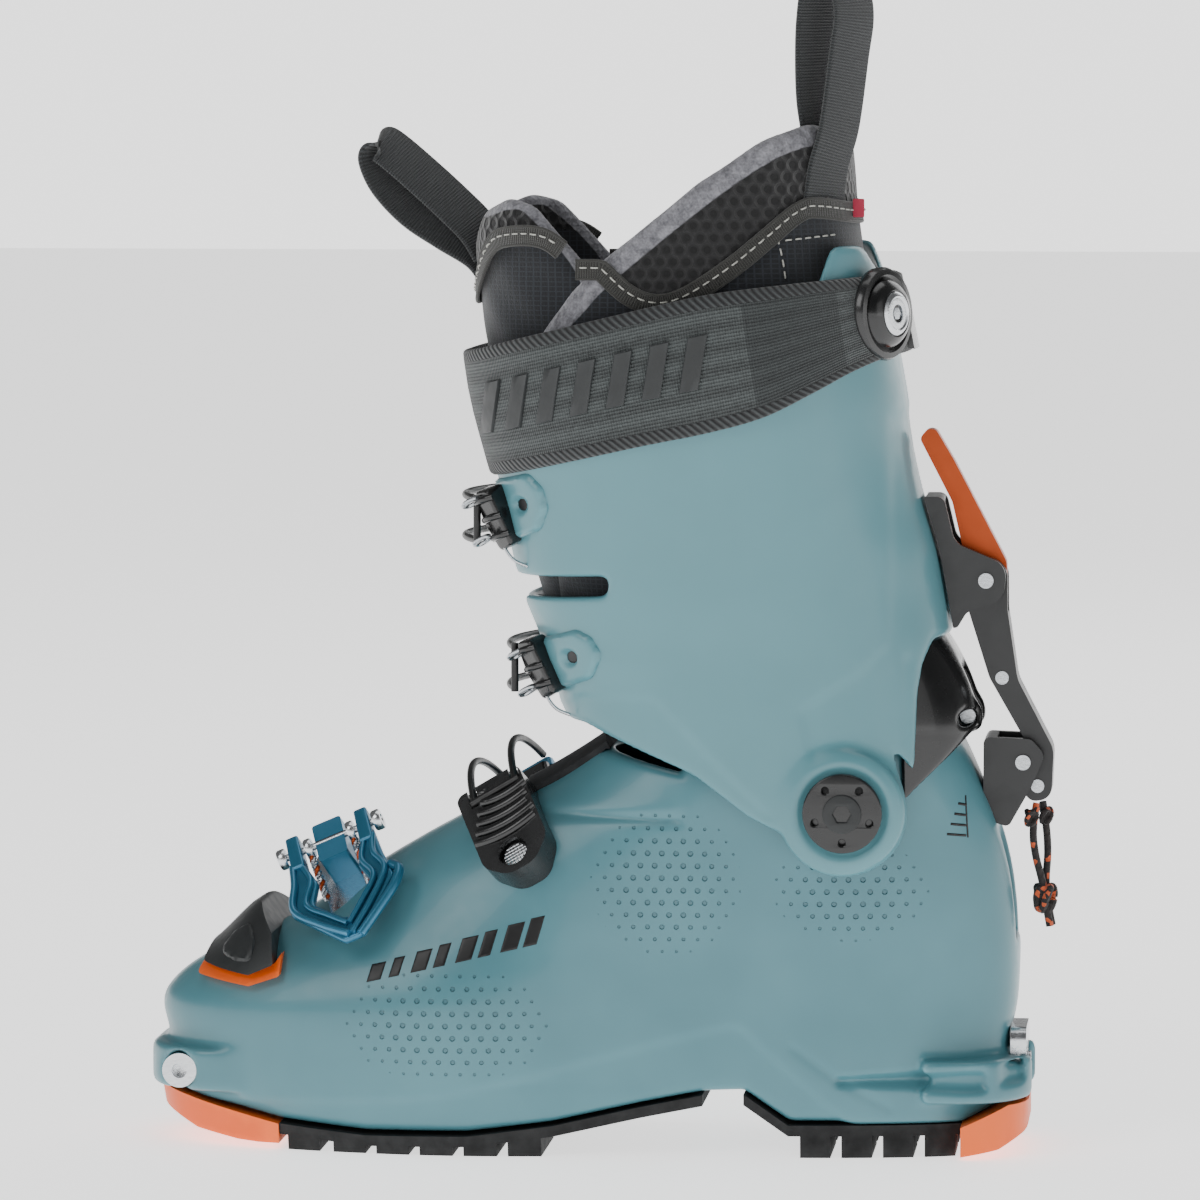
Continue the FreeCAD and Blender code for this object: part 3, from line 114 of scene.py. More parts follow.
class Look:
    """A node material under construction, with short calls for the nodes that it needs."""

    def __init__(self, name, rough=0.5, metallic=0.0, coat=0.0, sheen=0.0):
        self.material = bpy.data.materials.new(name)
        self.material.use_nodes = True
        self.tree = self.material.node_tree
        self.surface = self.tree.nodes["Principled BSDF"]
        self.surface.inputs["Roughness"].default_value = rough
        self.surface.inputs["Metallic"].default_value = metallic
        self.surface.inputs["Coat Weight"].default_value = coat
        self.surface.inputs["Sheen Weight"].default_value = sheen
        place = self.tree.nodes.new("ShaderNodeTexCoord")
        self.object = place.outputs["Object"]
        self.uv = place.outputs["UV"]

    def add(self, kind, values, **settings):
        node = self.tree.nodes.new(kind)
        for key, value in settings.items():
            setattr(node, key, value)
        for key, value in values.items():
            if isinstance(value, bpy.types.NodeSocket):
                self.tree.links.new(value, node.inputs[key])
            else:
                node.inputs[key].default_value = value
        return node

    def math(self, operation, *values):
        return self.add("ShaderNodeMath", dict(enumerate(values)), operation=operation).outputs[0]

    def times(self, first, second):
        return self.math("MULTIPLY", first, second)

    def plus(self, first, second):
        return self.math("ADD", first, second)

    def minus(self, first, second):
        return self.math("SUBTRACT", first, second)

    def waves(self, value, length):
        return self.math("SINE", self.times(value, 2 * math.pi / length))

    def split(self, vector, scale=1.0):
        scaled = self.add("ShaderNodeVectorMath", {0: vector, "Scale": scale}, operation="SCALE").outputs[0]
        return self.add("ShaderNodeSeparateXYZ", {0: scaled}).outputs

    def noise(self, scale, detail=3.0, where=None):
        return self.add("ShaderNodeTexNoise", {"Vector": where or self.object, "Scale": scale,
                                               "Detail": detail}).outputs["Fac"]

    def ramp(self, value, low, high, to_low=0.0, to_high=1.0):
        return self.add("ShaderNodeMapRange", {"Value": value, "From Min": low, "From Max": high,
                                               "To Min": to_low, "To Max": to_high}).outputs[0]

    def attribute(self, name):
        return self.add("ShaderNodeAttribute", {}, attribute_name=name).outputs["Fac"]

    def mix(self, share, first, second):
        node = self.add("ShaderNodeMix", {0: share, 6: first, 7: second}, data_type="RGBA")
        return node.outputs[2]

    def colour(self, value):
        if isinstance(value, bpy.types.NodeSocket):
            self.tree.links.new(value, self.surface.inputs["Base Color"])
        else:
            self.surface.inputs["Base Color"].default_value = value

    def rough(self, value):
        self.tree.links.new(value, self.surface.inputs["Roughness"])

    def relief(self, height, depth_mm, strength=1.0):
        bump = self.add("ShaderNodeBump", {"Height": height, "Distance": depth_mm * MM,
                                           "Strength": strength})
        self.tree.links.new(bump.outputs[0], self.surface.inputs["Normal"])


def speckled(name, code, rough, metallic=0.0, coat=0.0, grain=1800.0, depth=0.02, shift=0.12, wear=0.25):
    """A moulded or painted surface: soft colour drift, fine grain and lighter worn edges."""
    look = Look(name, rough, metallic, coat)
    base = tint(code)
    dark = tuple(c * (1.0 - shift) for c in base[:3]) + (1.0,)
    light = tuple(min(1.0, c * (1.0 + wear) + 0.02 * wear) for c in base[:3]) + (1.0,)
    drift = look.mix(look.ramp(look.noise(38.0), 0.3, 0.7), dark, base)
    edge = look.add("ShaderNodeNewGeometry", {}).outputs["Pointiness"]
    look.colour(look.mix(look.ramp(edge, 0.53, 0.6), drift, light))
    look.rough(look.ramp(look.noise(210.0), 0.3, 0.7, rough * 0.88, rough * 1.12))
    look.relief(look.noise(grain, 2.0), depth)
    return look.material


def hex_dots(look, across, along, pitch):
    """The distance to the nearest point of a staggered lattice, in the units of its inputs."""
    best = None
    for shift in (0.0, 0.5):
        squares = []
        for value, size in ((across, pitch), (along, pitch * math.sqrt(3.0))):
            share = look.math("FRACT", look.plus(look.math("DIVIDE", value, size), shift))
            gap = look.times(look.minus(share, 0.5), size)
            squares.append(look.times(gap, gap))
        distance = look.math("SQRT", look.plus(*squares))
        best = distance if best is None else look.math("MINIMUM", best, distance)
    return best


# Ellipses of dimples on the shell's sides: centre x and z, half length and half height, in millimetres.
DIMPLE_ZONES = [(-42.4, 43.0, 33.0, 18.5), (26.0, 88.5, 23.5, 23.5), (84.0, 86.0, 24.0, 16.0)]
DIMPLE_PITCH = 4.5
DIMPLE_RADIUS = 0.95


def shell_look():
    """Satin polyamide with fields of small round dimples that shrink towards their rim; their hollows are
    darkened with painted shade.
    """
    look = Look("shell_plastic_look", 0.36, 0.0, 0.12)
    x, _, z = look.split(look.object, PER_METRE)
    fields = None
    for centre_x, centre_z, half_x, half_z in DIMPLE_ZONES:
        u = look.math("DIVIDE", look.minus(x, centre_x), half_x)
        v = look.math("DIVIDE", look.minus(z, centre_z), half_z)
        far = look.math("SQRT", look.plus(look.times(u, u), look.times(v, v)))
        inside = look.ramp(far, 1.02, 0.55)
        fields = inside if fields is None else look.math("MAXIMUM", fields, inside)
    radius = look.times(look.plus(look.times(fields, 0.62), 0.38), DIMPLE_RADIUS)
    distance = hex_dots(look, x, z, DIMPLE_PITCH)
    hole = look.ramp(look.math("DIVIDE", distance, radius), 1.0, 0.62)
    hole = look.times(hole, look.math("GREATER_THAN", fields, 0.02))
    drift = look.mix(look.ramp(look.noise(30.0), 0.3, 0.7), tint("487a84"), tint("50838d"))
    edge = look.add("ShaderNodeNewGeometry", {}).outputs["Pointiness"]
    worn = look.mix(look.ramp(edge, 0.53, 0.6), drift, tint("74a6b0"))
    # Painted shade: the colour darkens to deep teal inside each dimple, on top of its bump.
    look.colour(look.mix(look.times(hole, 0.45), worn, tint("234a55")))
    look.rough(look.ramp(look.noise(240.0), 0.3, 0.7, 0.31, 0.40))
    grain = look.times(look.noise(1900.0, 2.0), 0.02)
    look.relief(look.minus(grain, hole), 0.7)
    return look.material


def weave_look(name, code, light_code, rib, sheen=0.25):
    """Woven tape: cross ribs along the tape and finer yarns across it. The UV map is in millimetres."""
    look = Look(name, 0.82, 0.0, 0.0, sheen)
    u, v, _ = look.split(look.uv)
    ribs = look.waves(u, rib)
    yarns = look.waves(v, rib * 0.8)
    weave = look.times(ribs, look.plus(look.times(yarns, 0.35), 0.65))
    fuzz = look.noise(1500.0, 4.0)
    height = look.plus(weave, look.times(fuzz, 0.8))
    look.colour(look.mix(look.ramp(height, -0.6, 1.4), tint(code), tint(light_code)))
    look.relief(height, 0.16)
    return look.material


def strap_look():
    """Power strap webbing: fine lengthwise ribs with flecks, and herringbone bands at both edges."""
    look = Look("power_strap_look", 0.75, 0.0, 0.0, 0.2)
    u, v, _ = look.split(look.uv)
    rib = look.waves(v, 1.05)
    yarn = look.waves(u, 0.85)
    body = look.plus(look.times(rib, 0.65), look.times(yarn, 0.35))
    fleck = look.ramp(look.noise(900.0, 3.0), 0.35, 0.75)
    from_edge = look.math("MINIMUM", v, look.minus(STRAP_UV_WIDTH, v))
    slant = look.waves(look.plus(u, look.times(v, 0.9)), 2.3)
    band = look.ramp(from_edge, 4.0, 3.7)
    seam = look.times(look.ramp(from_edge, 3.2, 3.9), look.ramp(from_edge, 4.7, 4.1))
    height = look.add("ShaderNodeMix", {0: band, 2: body, 3: slant}).outputs[0]
    height = look.minus(height, seam)
    stripes = look.ramp(look.waves(v, 6.4), -1.0, 1.0, 0.0, 0.35)
    share = look.plus(look.times(look.ramp(height, -1.0, 1.0), 0.55), look.times(fleck, 0.35))
    grey = look.mix(look.plus(share, stripes), tint("131617"), tint("4a5050"))
    black = look.mix(look.ramp(slant, -0.6, 0.9), tint("0c0d0f"), tint("3a3e3f"))
    in_lap = look.times(look.ramp(u, STRAP_DARK_FROM, STRAP_DARK_FROM + 0.4),
                        look.ramp(u, STRAP_DARK_TO + 0.4, STRAP_DARK_TO))
    shade = look.mix(in_lap, grey, tint("1b2021"))
    look.colour(look.mix(band, look.mix(0.6, grey, shade), black))
    look.relief(height, 0.2)
    return look.material


def liner_look():
    """Inner boot cloth: grey knit rim, dimpled black mesh, and ripstop below the binding."""
    look = Look("liner_look", 0.9, 0.0, 0.0, 0.35)
    rim = look.attribute("rim")
    panel = look.attribute("panel")
    around = look.attribute("around")
    z = look.split(look.object, PER_METRE)[2]
    fuzz = look.noise(1400.0, 4.0)
    soft = look.noise(330.0, 3.0)
    knit_dots = hex_dots(look, around, z, 2.4)
    wool = look.ramp(look.plus(look.times(soft, 0.7), look.times(fuzz, 0.5)), 0.42, 0.78)
    knit = look.mix(wool, tint("55555a"), tint("8d8d93"))
    dots = hex_dots(look, around, z, 4.3)
    net = look.ramp(dots, 1.1, 2.1)
    threads = look.times(net, look.ramp(fuzz, 0.3, 0.7, 0.5, 1.0))
    mesh = look.mix(threads, tint("040405"), tint("262627"))
    lines = look.math("MAXIMUM", look.waves(z, 1.5),
                      look.waves(around, 2.6))
    grid = look.times(look.ramp(lines, 0.55, 1.0), 0.55)
    ripstop = look.mix(grid, tint("0e1116"), tint("2b3038"))
    cloth = look.mix(look.ramp(panel, -0.25, 0.25), ripstop, mesh)
    is_rim = look.ramp(rim, RIM_WIDTH + 0.2, RIM_WIDTH - 0.2)
    look.colour(look.mix(is_rim, cloth, knit))
    is_mesh = look.times(look.ramp(panel, -0.25, 0.25), look.minus(1.0, is_rim))
    height = look.plus(look.times(is_mesh, net), look.times(fuzz, 0.25))
    height = look.plus(height, look.times(is_rim, look.times(look.ramp(knit_dots, 0.6, 1.2), 0.25)))
    look.relief(height, 0.7)
    return look.material


def brushed_look(name, code, rough, stretch=(1.0, 1.0, 22.0)):
    """Bare metal with fine marks drawn along one direction."""
    look = Look(name, rough, 1.0)
    warped = look.add("ShaderNodeVectorMath", {0: look.object, 1: stretch}, operation="MULTIPLY").outputs[0]
    marks = look.noise(700.0, 4.0, warped)
    base = tint(code)
    dark = tuple(c * 0.6 for c in base[:3]) + (1.0,)
    look.colour(look.mix(look.ramp(marks, 0.3, 0.65), dark, base))
    look.rough(look.ramp(marks, 0.3, 0.7, rough * 1.5, rough * 0.8))
    look.relief(marks, 0.03)
    return look.material


def cord_look():
    """Braided black cord with orange flecks."""
    look = Look("cord_look", 0.8, 0.0, 0.0, 0.2)
    cells = look.add("ShaderNodeTexVoronoi", {"Vector": look.object, "Scale": 650.0})
    fleck = look.add("ShaderNodeSeparateColor", {0: cells.outputs["Color"]}).outputs[0]
    black = look.mix(look.ramp(look.noise(1500.0), 0.3, 0.7), tint("0d0a0a"), tint("2b2423"))
    look.colour(look.mix(look.math("GREATER_THAN", fleck, 0.86), black, tint("c3542a")))
    look.relief(cells.outputs["Distance"], 0.4)
    return look.material


# Lengths that the strap's pattern needs, in millimetres of its UV map.
STRAP_UV_WIDTH = 40.0
STRAP_DARK_FROM = 86.0
STRAP_DARK_TO = 118.0
RIM_WIDTH = 8.0

SHELL = shell_look()
CUFF_PLASTIC = speckled("cuff_plastic_look", "588b94", 0.34, coat=0.12, depth=0.015, shift=0.06)
RUBBER = speckled("sole_rubber_look", "050506", 0.8, grain=900.0, depth=0.08, wear=0.4)
ORANGE = speckled("orange_plastic_look", "f4600c", 0.42, grain=1300.0, depth=0.03)
BURNT = speckled("walk_lever_look", "9a3a04", 0.36, metallic=0.55, grain=1500.0, depth=0.02)
STEEL = brushed_look("steel_look", "cfd3d7", 0.22)
CHROME = brushed_look("chrome_look", "e6e9ec", 0.12)
BLACK_METAL = speckled("black_metal_look", "0b0c0d", 0.34, metallic=0.2, grain=1500.0, depth=0.02, wear=0.8)
BLACK = speckled("black_plastic_look", "0a0b0c", 0.26, coat=0.3, grain=1300.0, depth=0.015, wear=0.6)
SATIN_BLACK = speckled("satin_black_look", "212425", 0.5, grain=1100.0, depth=0.03)
BLUE = speckled("blue_aluminium_look", "3a7694", 0.32, metallic=0.6, coat=0.15, grain=1600.0, depth=0.01)
WIRE = speckled("coated_wire_look", "080808", 0.45, coat=0.1, grain=700.0, depth=0.05)
WEBBING = weave_look("webbing_look", "0c0d0e", "303436", 0.95)
BINDING = weave_look("binding_look", "0f0f0f", "3c3c38", 0.8)
STRAP = strap_look()
LINER = liner_look()
SOFT = speckled("soft_black_look", "1a1b1d", 0.78, grain=900.0, depth=0.06)
STITCH = speckled("stitch_look", "a2a29c", 0.8, grain=1500.0, depth=0.05)
CORD = cord_look()
RED = speckled("tag_look", "b92f4a", 0.7, grain=1200.0, depth=0.05)


# ------------------------------------------------------------------ mesh helpers, in millimetres

def raw_mesh(points, faces):
    """A mesh from points in millimetres."""
    mesh = bpy.data.meshes.new("raw")
    mesh.from_pydata(np.asarray(points, dtype=float).reshape(-1, 3).tolist(), [], faces)
    return mesh


def sheet_mesh(rings, closed=True, capped=False, uv=None):
    """Quads between successive rings of equally many points."""
    rings = np.asarray(rings, dtype=float)
    count, sides = rings.shape[:2]
    span = sides if closed else sides - 1
    faces = [(i * sides + j, i * sides + (j + 1) % sides, (i + 1) * sides + (j + 1) % sides,
              (i + 1) * sides + j) for i in range(count - 1) for j in range(span)]
    if capped:
        faces.append(tuple(reversed(range(sides))))
        faces.append(tuple((count - 1) * sides + j for j in range(sides)))
    mesh = raw_mesh(rings, faces)
    if uv is not None:
        layer = mesh.uv_layers.new(name="UVMap").data
        for loop in mesh.loops:
            row, column = divmod(loop.vertex_index, sides)
            layer[loop.index].uv = uv(row, column)
    return mesh


def smooth_path(points, steps=10):
    """Points along a Catmull-Rom line through the given ones."""
    p = np.asarray(points, dtype=float)
    p = np.vstack([2 * p[0] - p[1], p, 2 * p[-1] - p[-2]])
    out = []
    for i in range(1, len(p) - 2):
        for t in np.arange(steps) / steps:
            a, b, c, d = p[i - 1], p[i], p[i + 1], p[i + 2]
            out.append(0.5 * ((2 * b) + (c - a) * t + (2 * a - 5 * b + 4 * c - d) * t ** 2
                              + (3 * b - a - 3 * c + d) * t ** 3))
    out.append(p[-2])
    return np.array(out)


def run_along(path):
    """The length along a path at each of its points."""
    return np.concatenate([[0.0], np.cumsum(np.linalg.norm(np.diff(path, axis=0), axis=1))])


def frames(path, hint):
    """Unit tangents, sides and normals along a path; sides stay near the hint direction."""
    tangent = np.gradient(path, axis=0)
    tangent /= np.linalg.norm(tangent, axis=1)[:, None]
    hint = np.broadcast_to(np.asarray(hint, dtype=float), path.shape)
    side = hint - (hint * tangent).sum(1)[:, None] * tangent
    side /= np.linalg.norm(side, axis=1)[:, None]
    return tangent, side, np.cross(tangent, side)


def tube_mesh(path, radius, sides=12, hint=(0.13, 0.31, 0.94), flat=1.0):
    """A round or oval tube along a path, with closed ends."""
    path = np.asarray(path, dtype=float)
    tangent, side, normal = frames(path, hint)
    radii = np.broadcast_to(np.asarray(radius, dtype=float), (len(path),))
    angles = 2 * math.pi * np.arange(sides) / sides
    cosine, sine = np.cos(angles)[:, None], np.sin(angles)[:, None]
    rings = [path[i] + radii[i] * (cosine * side[i] + flat * sine * normal[i]) for i in range(len(path))]
    return sheet_mesh(rings, capped=True)


def tape_mesh(path, across, width, thick):
    """A flat tape with soft edges along a path; its UV map is in millimetres along and across."""
    path = np.asarray(path, dtype=float)
    tangent, side, normal = frames(path, across)
    half, deep = width / 2.0, thick / 2.0
    section = [(-half, 0.0), (-half + deep * 0.4, deep * 0.85), (-half + deep * 1.4, deep), (0.0, deep),
               (half - deep * 1.4, deep), (half - deep * 0.4, deep * 0.85), (half, 0.0),
               (half - deep * 0.4, -deep * 0.85), (half - deep * 1.4, -deep), (0.0, -deep),
               (-half + deep * 1.4, -deep), (-half + deep * 0.4, -deep * 0.85)]
    rings = [[path[i] + a * side[i] + b * normal[i] for a, b in section] for i in range(len(path))]
    along = run_along(path)
    return sheet_mesh(rings, capped=True, uv=lambda row, column: (along[row], section[column][0] + half))


def rounded(corners, steps=6):
    """A closed outline through (u, v, radius) corners, with their arcs worked out."""
    out = []
    count = len(corners)
    for i in range(count):
        before = Vector(corners[i - 1][:2])
        here = Vector(corners[i][:2])
        after = Vector(corners[(i + 1) % count][:2])
        radius = corners[i][2] if len(corners[i]) > 2 else 0.0
        if radius <= 0:
            out.append(tuple(here))
            continue
        into = (before - here).normalized()
        away = (after - here).normalized()
        half = into.angle(away) / 2.0
        reach = min(radius / math.tan(half), 0.48 * (before - here).length, 0.48 * (after - here).length)
        start, end = here + into * reach, here + away * reach
        for k in range(steps + 1):
            t = k / steps
            out.append(tuple(start * (1 - t) ** 2 + here * 2 * t * (1 - t) + end * t ** 2))
    return out


def disc(u, v, radius, steps=28):
    """A round outline."""
    return [(u + radius * math.cos(2 * math.pi * k / steps), v + radius * math.sin(2 * math.pi * k / steps))
            for k in range(steps)]


def plate_mesh(loops, thick, edge=0.4):
    """A flat plate from outlines (holes after the first) with rounded edges, centred on its plane."""
    curve = bpy.data.curves.new("plate", "CURVE")
    curve.dimensions = "2D"
    curve.fill_mode = "BOTH"
    curve.extrude = max(thick / 2.0 - edge, 0.01)
    curve.bevel_depth = edge
    curve.bevel_resolution = 2
    curve.offset = -edge
    for loop in loops:
        spline = curve.splines.new("POLY")
        spline.points.add(len(loop) - 1)
        for point, place in zip(spline.points, loop):
            point.co = (place[0], place[1], 0.0, 1.0)
        spline.use_cyclic_u = True
    holder = bpy.data.objects.new("plate", curve)
    bpy.context.collection.objects.link(holder)
    mesh = bpy.data.meshes.new_from_object(holder.evaluated_get(bpy.context.evaluated_depsgraph_get()))
    bpy.data.objects.remove(holder)
    bm = bmesh.new()
    bm.from_mesh(mesh)
    bmesh.ops.remove_doubles(bm, verts=bm.verts, dist=0.002)
    bm.to_mesh(mesh)
    bm.free()
    return mesh


def lathe_mesh(profile, sides=40):
    """A turned shape from (radius, height) pairs about local Z."""
    angles = 2 * math.pi * np.arange(sides) / sides
    rings = [[(max(r, 0.01) * math.cos(a), max(r, 0.01) * math.sin(a), h) for a in angles]
             for r, h in profile]
    return sheet_mesh(rings, capped=True)


def placed(mesh, origin, u=X, v=Y):
    """The mesh with its local axes turned to u and v, at the origin point."""
    u = Vector(u).normalized()
    w = u.cross(Vector(v)).normalized()
    v = w.cross(u)
    matrix = Matrix((u, v, w)).transposed().to_4x4()
    matrix.translation = Vector(origin)
    mesh.transform(matrix)
    return mesh


def facing(mesh, origin, w):
    """The mesh with its local Z turned to w, at the origin point."""
    w = Vector(w).normalized()
    u = w.orthogonal() if abs(w.z) > 0.99 else w.cross(Z)
    return placed(mesh, origin, u, w.cross(u))


def turned(profile, origin, axis, sides=40):
    """A turned shape whose own axis lies along the given one, at the origin point."""
    return facing(lathe_mesh(profile, sides), origin, axis)


def piece(name, shapes, body, slot, *nodes, sharp=38.0):
    """One named piece from (mesh, material) pairs, riding on a body and standing for CAD nodes."""
    bm = bmesh.new()
    materials = []
    for mesh, material in shapes:
        if material not in materials:
            materials.append(material)
        count = len(bm.faces)
        bm.from_mesh(mesh)
        bm.faces.ensure_lookup_table()
        for face in bm.faces[count:]:
            face.material_index = materials.index(material)
            face.smooth = True
    bmesh.ops.recalc_face_normals(bm, faces=bm.faces)
    bmesh.ops.scale(bm, vec=(MM, MM, MM), verts=bm.verts)
    mesh = bpy.data.meshes.new(name)
    bm.to_mesh(mesh)
    bm.free()
    for material in materials:
        mesh.materials.append(material)
    mesh.set_sharp_from_angle(angle=math.radians(sharp))
    obj = bpy.data.objects.new(name, mesh)
    bpy.context.collection.objects.link(obj)
    return settle(obj, body, slot, *nodes)


def settle(obj, body, slot, *nodes):
    """Ride on a body and stand for CAD nodes. The finish slot is not used."""
    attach(obj, body)
    if nodes:
        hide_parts(*nodes)
    return obj


# ------------------------------------------------------------------ distance fields, in millimetres

class Field:
    """A box of grid points for signed distances, which are negative inside."""

    def __init__(self, low, high, step):
        self.low = np.array(low, dtype=float)
        self.step = step
        axes = [np.arange(a, b + step, step, dtype=np.float32) for a, b in zip(low, high)]
        self.x = axes[0][:, None, None]
        self.y = axes[1][None, :, None]
        self.z = axes[2][None, None, :]

    def normalised(self, values):
        """Values over the length of their slope, which is a distance near the surface."""
        slopes = np.gradient(values, self.step)
        return values / np.sqrt(slopes[0] ** 2 + slopes[1] ** 2 + slopes[2] ** 2 + 1e-8)

    def rows(self, rows, front_in=0.0, rear_in=0.0, side_in=0.0):
        """The loft through superellipse slices, drawn in by the given amounts."""
        front, rear, ball, heel, front_power, rear_power = smooth_rows(rows, self.z.ravel()).T
        front, rear = front + front_in, rear - rear_in
        reach = (rear - front) / 2.0
        u = (self.x - (front + rear) / 2.0) / reach
        power = np.where(u > 0, rear_power, front_power).astype(np.float32)
        share = np.clip((self.x + 55.0) / 90.0, 0.0, 1.0)
        share = share * share * (3 - 2 * share)
        half = ball - side_in + (heel - ball) * share
        shape = (np.abs(u) ** power + np.abs(self.y / half) ** power) ** (1.0 / power)
        return self.normalised(shape.astype(np.float32) - 1.0)

    def outline(self, points):
        """Distance to a closed side-view outline of (x, z) points."""
        return outline_distance(self.x, self.z, points)

    def drum(self, x, z, radius, low=-90.0, high=90.0):
        """A cylinder across the boot."""
        ring = np.sqrt((self.x - x) ** 2 + (self.z - z) ** 2) - radius
        return np.maximum(ring, np.maximum(low - self.y, self.y - high))

    def mesh(self, values, ratio=1.0):
        """The zero surface as a mesh, thinned to a share of its triangles."""
        grid = openvdb.FloatGrid()
        grid.copyFromArray(np.ascontiguousarray(values, dtype=np.float32))
        points, quads = grid.convertToQuads(0.0)
        mesh = raw_mesh(np.asarray(points) * self.step + self.low, quads.tolist())
        if ratio < 1.0:
            holder = bpy.data.objects.new("thin", mesh)
            bpy.context.collection.objects.link(holder)
            thin = holder.modifiers.new("thin", "DECIMATE")
            thin.ratio = ratio
            mesh = bpy.data.meshes.new_from_object(
                holder.evaluated_get(bpy.context.evaluated_depsgraph_get()))
            bpy.data.objects.remove(holder)
        return mesh

    def slopes_at(self, values, points):
        """The field's direction at points, between the grid's values."""
        place = (points - self.low) / self.step
        cell = np.clip(place.astype(int), 1, np.array(values.shape) - 3)
        part = place - cell
        total = np.zeros_like(points)
        for corner in range(8):
            bits = np.array([corner >> 2 & 1, corner >> 1 & 1, corner & 1])
            weight = np.prod(np.where(bits == 1, part, 1 - part), axis=1)
            i, j, k = (cell + bits).T
            slope = np.stack([values[i + 1, j, k] - values[i - 1, j, k],
                              values[i, j + 1, k] - values[i, j - 1, k],
                              values[i, j, k + 1] - values[i, j, k - 1]], axis=1)
            total += slope * weight[:, None]
        return total / (np.linalg.norm(total, axis=1)[:, None] + 1e-9)


def smooth_rows(rows, heights):
    """Row values at the heights, along a smooth line through the rows."""
    table = np.array(rows, dtype=float)
    levels, values = table[:, 0], table[:, 1:]
    slopes = np.gradient(values, levels, axis=0)
    i = np.clip(np.searchsorted(levels, heights) - 1, 0, len(levels) - 2)
    gap = (levels[i + 1] - levels[i])[:, None]
    t = np.clip((heights - levels[i])[:, None] / gap, 0.0, 1.0)
    out = ((2 * t ** 3 - 3 * t ** 2 + 1) * values[i] + (t ** 3 - 2 * t ** 2 + t) * gap * slopes[i]
           + (3 * t ** 2 - 2 * t ** 3) * values[i + 1] + (t ** 3 - t ** 2) * gap * slopes[i + 1])
    return out.astype(np.float32)


def line_distance(x, z, points):
    """Distance to an open side-view line."""
    best = None
    for (ax, az), (bx, bz) in zip(points, points[1:]):
        ex, ez = bx - ax, bz - az
        t = np.clip(((x - ax) * ex + (z - az) * ez) / (ex * ex + ez * ez + 1e-9), 0.0, 1.0)
        away = np.sqrt((x - ax - t * ex) ** 2 + (z - az - t * ez) ** 2)
        best = away if best is None else np.minimum(best, away)
    return best


def outline_distance(x, z, points):
    """Distance to a closed outline; negative inside."""
    best = line_distance(x, z, list(points) + [points[0]])
    inside = np.zeros(best.shape, dtype=bool)
    for (ax, az), (bx, bz) in zip(points, list(points[1:]) + [points[0]]):
        crosses = (az > z) != (bz > z)
        inside ^= crosses & (x < (bx - ax) * (z - az) / (bz - az + 1e-9) + ax)
    return np.where(inside, -best, best).astype(np.float32)


def join(a, b, soft):
    """Union with a soft fillet."""
    h = np.maximum(soft - np.abs(a - b), 0.0) / soft
    return np.minimum(a, b) - h * h * soft / 4.0


def meet(a, b, soft):
    """Intersection with a soft edge."""
    h = np.maximum(soft - np.abs(a - b), 0.0) / soft
    return np.maximum(a, b) + h * h * soft / 4.0


def inside_share(distance, width):
    """One inside an outline and nought outside, with a soft step."""
    return 0.5 - 0.5 * np.tanh(distance / width)


def softened(values, passes=1):
    """The field with its corners eased."""
    for _ in range(passes):
        for axis in range(3):
            low = np.roll(values, 1, axis)
            high = np.roll(values, -1, axis)
            values = 0.25 * low + 0.5 * values + 0.25 * high
    return values


def field_piece(name, field, values, ratio, material, body, slot, *nodes):
    """A piece from a distance field, shaded by the field's own slope."""
    mesh = field.mesh(values, ratio)
    count = len(mesh.vertices)
    points = np.empty(count * 3)
    mesh.vertices.foreach_get("co", points)
    points = points.reshape(-1, 3)
    normals = field.slopes_at(values, points)
    mesh.transform(Matrix.Scale(MM, 4))
    bm = bmesh.new()
    bm.from_mesh(mesh)
    if bm.calc_volume(signed=True) < 0:
        bmesh.ops.reverse_faces(bm, faces=bm.faces)
    for face in bm.faces:
        face.smooth = True
    bm.to_mesh(mesh)
    bm.free()
    mesh.normals_split_custom_set_from_vertices(normals.tolist())
    mesh.materials.append(material)
    mesh.name = name
    obj = bpy.data.objects.new(name, mesh)
    bpy.context.collection.objects.link(obj)
    return settle(obj, body, slot, *nodes), points


# ------------------------------------------------------------------ the pull cord

CORD_DIAMETER = 2.4
CORD_ROUTES = {
    "pull_cord_front": [(140.6, -1.6, 110.2), (139.2, -2.6, 102.5), (140.2, -2.4, 93.5), (142.6, -1.4, 85.0),
                        (143.9, -1.4, 76.5), (145.0, -1.6, 70.8)],
    "pull_cord_rear": [(142.4, 1.6, 110.2), (143.6, 2.6, 102.5), (144.2, 2.4, 93.5), (143.4, 1.4, 85.0),
                       (144.4, 1.4, 76.5), (145.6, 1.7, 70.8)],
}
for cord_name, route in CORD_ROUTES.items():
    line = bpy.data.curves.new(cord_name + "_line", "CURVE")
    line.dimensions = "3D"
    line.bevel_depth = CORD_DIAMETER / 2 * MM
    line.bevel_resolution = 4
    line.resolution_u = 12
    line.use_fill_caps = True
    spline = line.splines.new("NURBS")
    spline.points.add(len(route) - 1)
    for point, place in zip(spline.points, route):
        point.co = (*(value * MM for value in place), 1.0)
    spline.order_u = 3
    spline.use_endpoint_u = True
    line.materials.append(CORD)
    strand = bpy.data.objects.new(cord_name + "_strand", line)
    bpy.context.collection.objects.link(strand)
    settle(strand, "pull_cord", "cord_textile", cord_name)


def knot_mesh(centre, size, strand, turns):
    """A small tied knot: one strand wound over itself in a closed, slightly irregular ball."""
    steps = 26 * turns
    t = 2 * math.pi * np.arange(steps) / steps
    wide = size * (0.62 + 0.3 * np.cos(turns * t))
    tall = 1.15 * size * np.sin(turns * t + 0.4)
    path = np.stack([wide * np.cos(2 * t), wide * np.sin(2 * t), tall], axis=1)
    path = np.vstack([path, path[:2]]) + np.asarray(centre)
    return tube_mesh(path, strand, 8)


